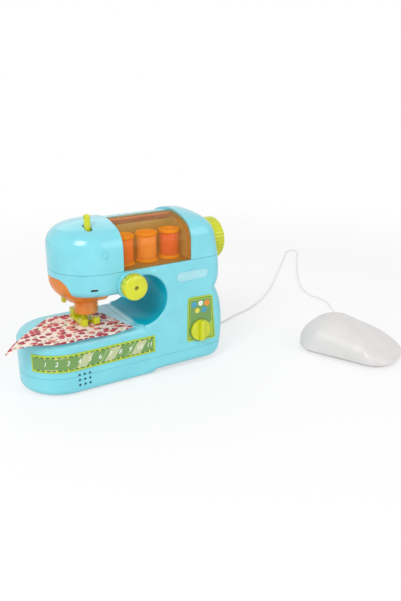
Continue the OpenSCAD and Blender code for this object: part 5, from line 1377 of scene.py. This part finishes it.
    def plaque(self) -> None:
        """The oval plaque, a raised line round a bare face."""
        (w, h), rim = self.plaque_size, 2 * self.plaque_rim
        plate = Form.prism(stadium(*self.plaque_at, w, h), 0.58, Facing.FRONT, (0, self.face_y - 0.02, 0))
        dish = Form.prism(stadium(*self.plaque_at, w - rim, h - rim), 2, Facing.FRONT, (0, self.face_y - 0.25, 0))
        plate.cut(dish).piece("plaque_oval", PLAQUE, "aqua_plastic", Body.MACHINE, "oval_plaque", sharp=25)

    def wrapped(self, form: Form) -> Form:
        """Wraps a form drawn flat as (run from the right end, height, lift) round the base."""
        flat_run = self.label_x1 - self.end_x
        for v in form.bm.verts:
            run, z, lift = v.co
            if run <= flat_run:
                v.co = (self.label_x1 - run, -self.end_r - lift, z)
            else:
                a = (run - flat_run) / self.end_r
                r = self.end_r + lift
                v.co = (self.end_x - r * math.sin(a), -r * math.cos(a), z)
        bmesh.ops.recalc_face_normals(form.bm, faces=form.bm.faces)
        return form

    @staticmethod
    def band(run: Flat, z: Flat, lift: Flat, slant: float = 0.0) -> Form:
        """A flat strip, cut finely enough along its run to wrap round the end."""
        form = Form.box((0, 0, 0), (1, 1, 1))
        steps = max(1, math.ceil((run[1] - run[0] + abs(slant)) / 1.5))
        along = [e for e in form.bm.edges if abs(e.verts[0].co.x - e.verts[1].co.x) > 0.5]
        bmesh.ops.subdivide_edges(form.bm, edges=along, cuts=steps, use_grid_fill=True)
        for v in form.bm.verts:
            x, y, h = v.co
            v.co = (mix(run[0], run[1], x) + slant * y, mix(z[0], z[1], y), mix(lift[0], lift[1], h))
        return form

    def numeral(self, text: str, run: float, z: float, size: float, lift: Flat) -> Form:
        """A printed number at a place along the label."""
        curve = bpy.data.curves.new("numeral", "FONT")
        curve.body, curve.size, curve.align_x, curve.align_y, curve.shear = text, size, "CENTER", "CENTER", 0.25
        curve.extrude = 0.5
        obj = bpy.data.objects.new("numeral", curve)
        bpy.context.scene.collection.objects.link(obj)
        mesh = bpy.data.meshes.new_from_object(obj.evaluated_get(bpy.context.evaluated_depsgraph_get()))
        form = Form()
        form.bm.from_mesh(mesh)
        bpy.data.objects.remove(obj)
        bpy.data.curves.remove(curve)
        bpy.data.meshes.remove(mesh)
        for v in form.bm.verts:
            v.co = (run - v.co.x, z + v.co.y, lift[1] if v.co.z > 0 else lift[0])
        return form

    def label(self) -> None:
        """The ruler label: coloured bands, dashes and the numbers 1 to 11."""
        z0, z1 = self.label_z
        full = self.label_x1 - self.end_x + math.radians(self.label_wrap) * self.end_r
        edge = self.band((0, full), (z0, z1), (0.02, 0.6))
        self.wrapped(edge).piece("ruler_edge", LABEL_EDGE, "ruler_print", Body.MACHINE, "ruler_label")
        low, high = z0 + 2.6, z1 - 2.6
        self.wrapped(self.band((2.2, full - 1.5), (low, high), (0.5, 0.64))).piece(
            "ruler_field", LABEL_FIELD, "ruler_print", Body.MACHINE)
        pale, mid = Form(), Form()
        run, period, slant = 12.0, 27.0, -8.0
        while run + period < full:
            pale.gather(self.band((run + 4, run + 14), (low, high), (0.55, 0.68), slant))
            mid.gather(self.band((run + 16, run + 19), (low, high), (0.55, 0.68), slant))
            run += period
        self.wrapped(pale).piece("ruler_bands_pale", LABEL_PALE, "ruler_print", Body.MACHINE)
        self.wrapped(mid).piece("ruler_bands_mid", LABEL_MID, "ruler_print", Body.MACHINE)
        dashes, marks, figures = Form(), Form(), Form()
        step = self.number_step / 2
        for i in range(int(full / step)):
            start = 1.6 + i * step
            for z in (z0 + 1.7, z1 - 2.5):
                if start + 3.4 < full - 1:
                    dashes.gather(self.band((start, start + 3.3), (z, z + 0.8), (0.55, 0.7)))
        for n in range(1, self.numbers + 1):
            run = self.label_x1 - self.number_x + (self.numbers - n) * self.number_step
            figures.gather(self.numeral(str(n), run, (z0 + z1) / 2, 6.4, (0.6, 0.74)))
            for z in ((z0 + 0.9, z0 + 3.6), (z1 - 3.6, z1 - 0.9)):
                if run > 1:
                    marks.gather(self.band((run - 0.35, run + 0.35), z, (0.6, 0.74)))
        self.wrapped(dashes).piece("ruler_dashes", INK_DARK, "ruler_print", Body.MACHINE)
        self.wrapped(marks).piece("ruler_marks", INK_YELLOW, "ruler_print", Body.MACHINE)
        self.wrapped(figures).piece("ruler_numbers", INK_WHITE, "ruler_print", Body.MACHINE)

    def dress(self) -> None:
        """Builds all of it."""
        for make in (self.wheel, self.knob, self.dial, self.panel, self.plaque, self.label):
            make()


@dataclass
class SpoolBay:
    """The orange window, the three spools and the thread on them."""

    x0: float = -9.6
    x1: float = 59.6
    window_t: float = 1.8
    hinge: Flat = (0.5, 148.4)
    knuckle_r: float = 1.7
    pin_bore_r: float = 0.85
    spool_x: tuple[float, float, float] = (0.8, 25.0, 49.2)
    spool_y: float = -16.5
    spool_z: float = 109.5
    spool_r: float = 10.4
    spool_h: float = 28.5
    flange: float = 3.4
    barrel_r: float = 6.0
    thread_d: float = 1.15
    thread_loops: int = 18
    winding_r: float = 8.35

    def window(self, case: Case) -> None:
        """The clear window with a thicker rim."""
        def skin(grow: float, z0: float) -> list[Flat]:
            """Section of the window, inset."""
            rows = case.section(z0, case.crown_h - grow)
            return [(-w + grow, z) for w, z in rows] + [(self.hinge[0] + 1.0, case.crown_h - grow)]

        z0 = case.seam_z + 0.4
        t = self.window_t
        sheet = Form.prism(skin(0, z0) + list(reversed(skin(t, z0))), self.x1 - self.x0, Facing.RIGHT, (self.x0, 0, 0))
        rim = skin(t - 0.2, z0) + list(reversed(skin(t + 1.4, z0)))
        ends = [Form.prism(rim, 1.8, Facing.RIGHT, (x, 0, 0)) for x in (self.x0, self.x1 - 1.8)]
        lip = Form.box((self.x0, -38.4, z0), (self.x1, -36.6, z0 + 2.4))
        rod = Form.rod(self.knuckle_r, self.x1 - self.x0, Facing.RIGHT, (self.x0, *self.hinge), 36)
        bore = Form.rod(self.pin_bore_r, 90, Facing.RIGHT, (self.x0 - 5, *self.hinge), 24)
        sheet.add(*ends, lip, rod).cut(bore).piece("spool_window", ORANGE, "orange_clear", Body.COVER, "window_cover")

    def spool(self, name: str, x: float, body: Body) -> None:
        """One spool with rounded flanges."""
        r, h, f, b = self.spool_r, self.spool_h, self.flange, self.barrel_r
        rows = [(2.6, 0), (r, 0), (r, f * 0.7), (r * 0.92, f), (b, f), (b, h - f), (r * 0.92, h - f), (r, h - f * 0.7),
                (r, h - f * 0.2), (r * 0.95, h), (4.6, h), (4.2, h - 1.2), (2.6, h - 1.2)]
        Form.lathe(fillet(rows, 0.7, 4), Facing.UP, (x, self.spool_y, self.spool_z), 96, ring=True).piece(
            f"{name}_turned", SPOOL, "spool_orange", body, name)

    def thread(self, name: str, x: float, body: Body, finish: Finish, slot: str) -> None:
        """Thread wound on one spool: a core and one fine spiral round it."""
        z0 = self.spool_z + self.flange + 0.3
        high = self.spool_h - 2 * self.flange - 0.6
        d = self.thread_d
        pitch = (high - d) / self.thread_loops
        core = Form.lathe([(self.barrel_r + 0.02, z0), (self.winding_r, z0), (self.winding_r, z0 + high),
                           (self.barrel_r + 0.02, z0 + high)], Facing.UP, (x, self.spool_y, 0), 64, ring=True)
        coil = Form()
        steps = 36
        verts = [coil.bm.verts.new((self.winding_r + 0.25 + d / 2 * math.cos(a), 0, z0 + d / 2 + d / 2 * math.sin(a)))
                 for a in (2 * math.pi * k / 8 for k in range(8))]
        edges = [coil.bm.edges.new(p) for p in zip(verts, verts[1:] + verts[:1])]
        face = bmesh.ops.contextual_create(coil.bm, geom=edges)["faces"]
        bmesh.ops.spin(coil.bm, geom=face, cent=(0, 0, 0), axis=(0, 0, 1), dvec=(0, 0, pitch / steps),
                       angle=2 * math.pi * self.thread_loops, steps=steps * self.thread_loops)
        bmesh.ops.recalc_face_normals(coil.bm, faces=coil.bm.faces)
        coil.place(Facing.UP, (x, self.spool_y, 0))
        core.gather(coil).piece(f"{name}_wound", finish, slot, body, name, sharp=60)

    def dress(self, case: Case) -> None:
        """Builds all of it."""
        self.window(case)
        rows = (("left", Body.SPOOL_LEFT, CORAL, "thread_coral"), ("middle", Body.SPOOL_MIDDLE, PEACH, "thread_peach"),
                ("right", Body.SPOOL_RIGHT, CRIMSON, "thread_crimson"))
        for (side, body, finish, slot), x in zip(rows, self.spool_x):
            self.spool(f"spool_{side}", x, body)
            self.thread(f"thread_{side}", x, body, finish, slot)


@dataclass
class Pedal:
    """The white foot pedal: a smooth rocking cover over a flat base."""

    at: Flat = (221.0, -96.0)
    turn: float = -66.0
    length: float = 103.0
    width: float = 65.0
    heel: float = 36.0
    toe: float = 12.5
    corner: float = 24.0
    skirt_z: float = 4.0
    wall: float = 2.0
    full: float = 2.6
    inset: float = 3.8
    notch_half: float = 4.4
    notch_h: float = 10.2
    gland_u: float = -20.0
    gland_r: float = 2.2
    gland_l: float = 8.0
    gland_z: float = 3.6
    rings: int = 26
    corner_n: int = 18

    @property
    def gland_end(self) -> float:
        """How far out the tip of the cord's sleeve is."""
        return self.width / 2 - self.inset + self.gland_l

    def point(self, u: float, v: float, z: float) -> Point:
        """A point of the pedal's own frame in the row's frame."""
        a = math.radians(self.turn)
        return (self.at[0] + u * math.cos(a) - v * math.sin(a), self.at[1] + u * math.sin(a) + v * math.cos(a), z)

    def outline(self, grow: float) -> list[Flat]:
        """Outline of the pedal seen from above, inset."""
        l, w, r = self.length / 2 - grow, self.width / 2 - grow, self.corner - grow
        n = self.corner_n
        return (arc(l - r, w - r, r, 0, 90, n) + arc(r - l, w - r, r, 90, 180, n)
                + arc(r - l, r - w, r, 180, 270, n) + arc(l - r, r - w, r, 270, 360, n))

    def ridge(self, u: float) -> float:
        """Height of the cover along its length."""
        t = (self.length / 2 - u) / self.length
        return self.toe + (self.heel - self.toe) * math.sin(math.pi / 2 * min(1.0, 1.25 * t))

    def ring(self, s: float, grow: float, drop: float = 0.0) -> list[Point]:
        """One ring of the cover at a share of its height."""
        k = max(0.0, 1 - s ** self.full) ** (1 / self.full)
        return [self.point(x * k, y * k, self.skirt_z + s * (self.ridge(x * k) - grow - self.skirt_z) - drop)
                for x, y in self.outline(grow)]

    def dome(self, grow: float) -> Form:
        """The cover as a solid, or the room inside it."""
        rings = [self.ring(0, grow, OVER)] if grow else []
        rings += [self.ring(math.sin(math.radians(88) * i / self.rings), grow) for i in range(self.rings + 1)]
        return Form.loft(rings)

    def cover(self) -> None:
        """The rocking cover, open below, with a notch for the cord."""
        u, half, w = self.gland_u, self.notch_half, self.width
        notch = Form.box((u - half, w / 2 - 8, 0), (u + half, w, self.notch_h), 0.8)
        notch.swing(self.turn).place(at=(*self.at, 0))
        self.dome(0).cut(self.dome(self.wall), notch).piece("pedal_cover", WHITE, "white_plastic", Body.PEDAL_TOP,
                                                            "pedal_top")

    def sleeve(self) -> bpy.types.Object:
        """The sleeve where the cord enters the pedal."""
        at = self.point(self.gland_u, self.width / 2 - self.inset - self.gland_l / 2, self.gland_z)
        return Cord.sleeve("pedal_sleeve", Facing.BACK, at, self.gland_r, self.gland_l / 2, self.gland_l * 1.5, 1.5,
                           "pedal_gland", self.turn)


@dataclass
class Cloth:
    """The piece of printed cotton that lies on the bed under the presser foot."""

    corners: tuple[Flat, Flat, Flat, Flat] = ((-119.0, -26.0), (-3.0, -40.8), (-13.0, 12.0), (-62.0, 25.6))
    bulge: float = 9.0
    wave: float = 1.4
    z: float = 54.3
    thick: float = 0.7
    n: int = 120
    m: int = 60

    def point(self, s: float, t: float) -> Point:
        """A point of the cloth's top at shares along and across it."""
        (ax, ay), (dx, dy), (ex, ey), (cx, cy) = self.corners
        x = mix(mix(ax, dx, s), mix(cx, ex, s), t)
        y = mix(mix(ay, dy, s), mix(cy, ey, s), t)
        free = (1 - t) ** 2
        arch = math.sin(math.pi * s)
        y += self.bulge * arch * (0.4 * t - free)
        lift = self.wave * (0.5 - 0.5 * math.cos(5 * math.pi * s)) * free ** 3
        lift -= 4 * self.wave * (max(0.0, 0.16 - s) / 0.16) ** 2 * (1 - t) ** 6
        return (x, y, self.z + self.thick + lift)

    def dress(self) -> None:
        """Lays the cloth."""
        form = Form()
        form.bm.loops.layers.uv.new("UVMap")
        bmesh.ops.create_grid(form.bm, x_segments=self.n, y_segments=self.m, size=0.5, calc_uvs=True)
        for v in form.bm.verts:
            v.co = self.point(v.co.x + 0.5, v.co.y + 0.5)
        obj = form.piece("cotton_cloth_sheet", COTTON, "cotton_cloth", Body.MACHINE, "fabric_piece", sharp=80)
        obj.modifiers.remove(obj.modifiers["even_normals"])
        solid = obj.modifiers.new("thickness", "SOLIDIFY")
        solid.thickness, solid.offset = self.thick * MM, -1.0
        ring = list(self.corners)


@dataclass
class Carried:
    """Solids of the frame that stay as they are and only get their finish."""

    finishes: tuple[tuple[Finish, tuple[str, ...]], ...] = (
        (AQUA, ("base_plate", "battery_door")),
        (AQUA_SHADED_INSIDE, ("deck_plate",)),
        (STEEL, ("door_screw", "case_screws", "head_bracket", "needle_bar", "needle", "take_up_pin", "presser_bar",
                 "presser_spring", "lifter_pin", "main_shaft", "crank_disc", "motor", "battery_contacts", "window_pin",
                 "pedal_pin", "pedal_spring")),
        (WHITE, ("lamp", "shaft_bushes", "shaft_pulley", "motor_pulley", "motor_mount", "knob_spindle", "pedal_base")),
        (RUBBER, ("foot_pads", "pedal_feet", "drive_belt")),
        (DARK, ("selector_switch", "speaker", "pedal_switch")),
        (BOARD, ("circuit_board",)),
        (CELLS, ("batteries",)))

    def dress(self, nodes: dict[str, bpy.types.Object]) -> None:
        """Gives each carried solid its finish."""
        for finish, names in self.finishes:
            for name in names:
                mesh = nodes[name].data
                mesh.materials.clear()
                mesh.materials.append(finish.material())
                LOG.info("%s: %s", name, finish.name)


def main() -> None:
    """Builds the scene round the frame."""
    logging.basicConfig(level=logging.INFO, format="%(message)s")
    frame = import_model()
    stage = Stage()
    stage.camera()
    pedal = Pedal()
    Cord().build(pedal)
    stage.floor()
    stage.light()
    case = Case()
    case.dress()
    Head().dress()
    Controls().dress()
    SpoolBay().dress(case)
    pedal.cover()
    Cloth().dress()
    Carried().dress(frame["nodes"])


if __name__ == "__main__":
    main()
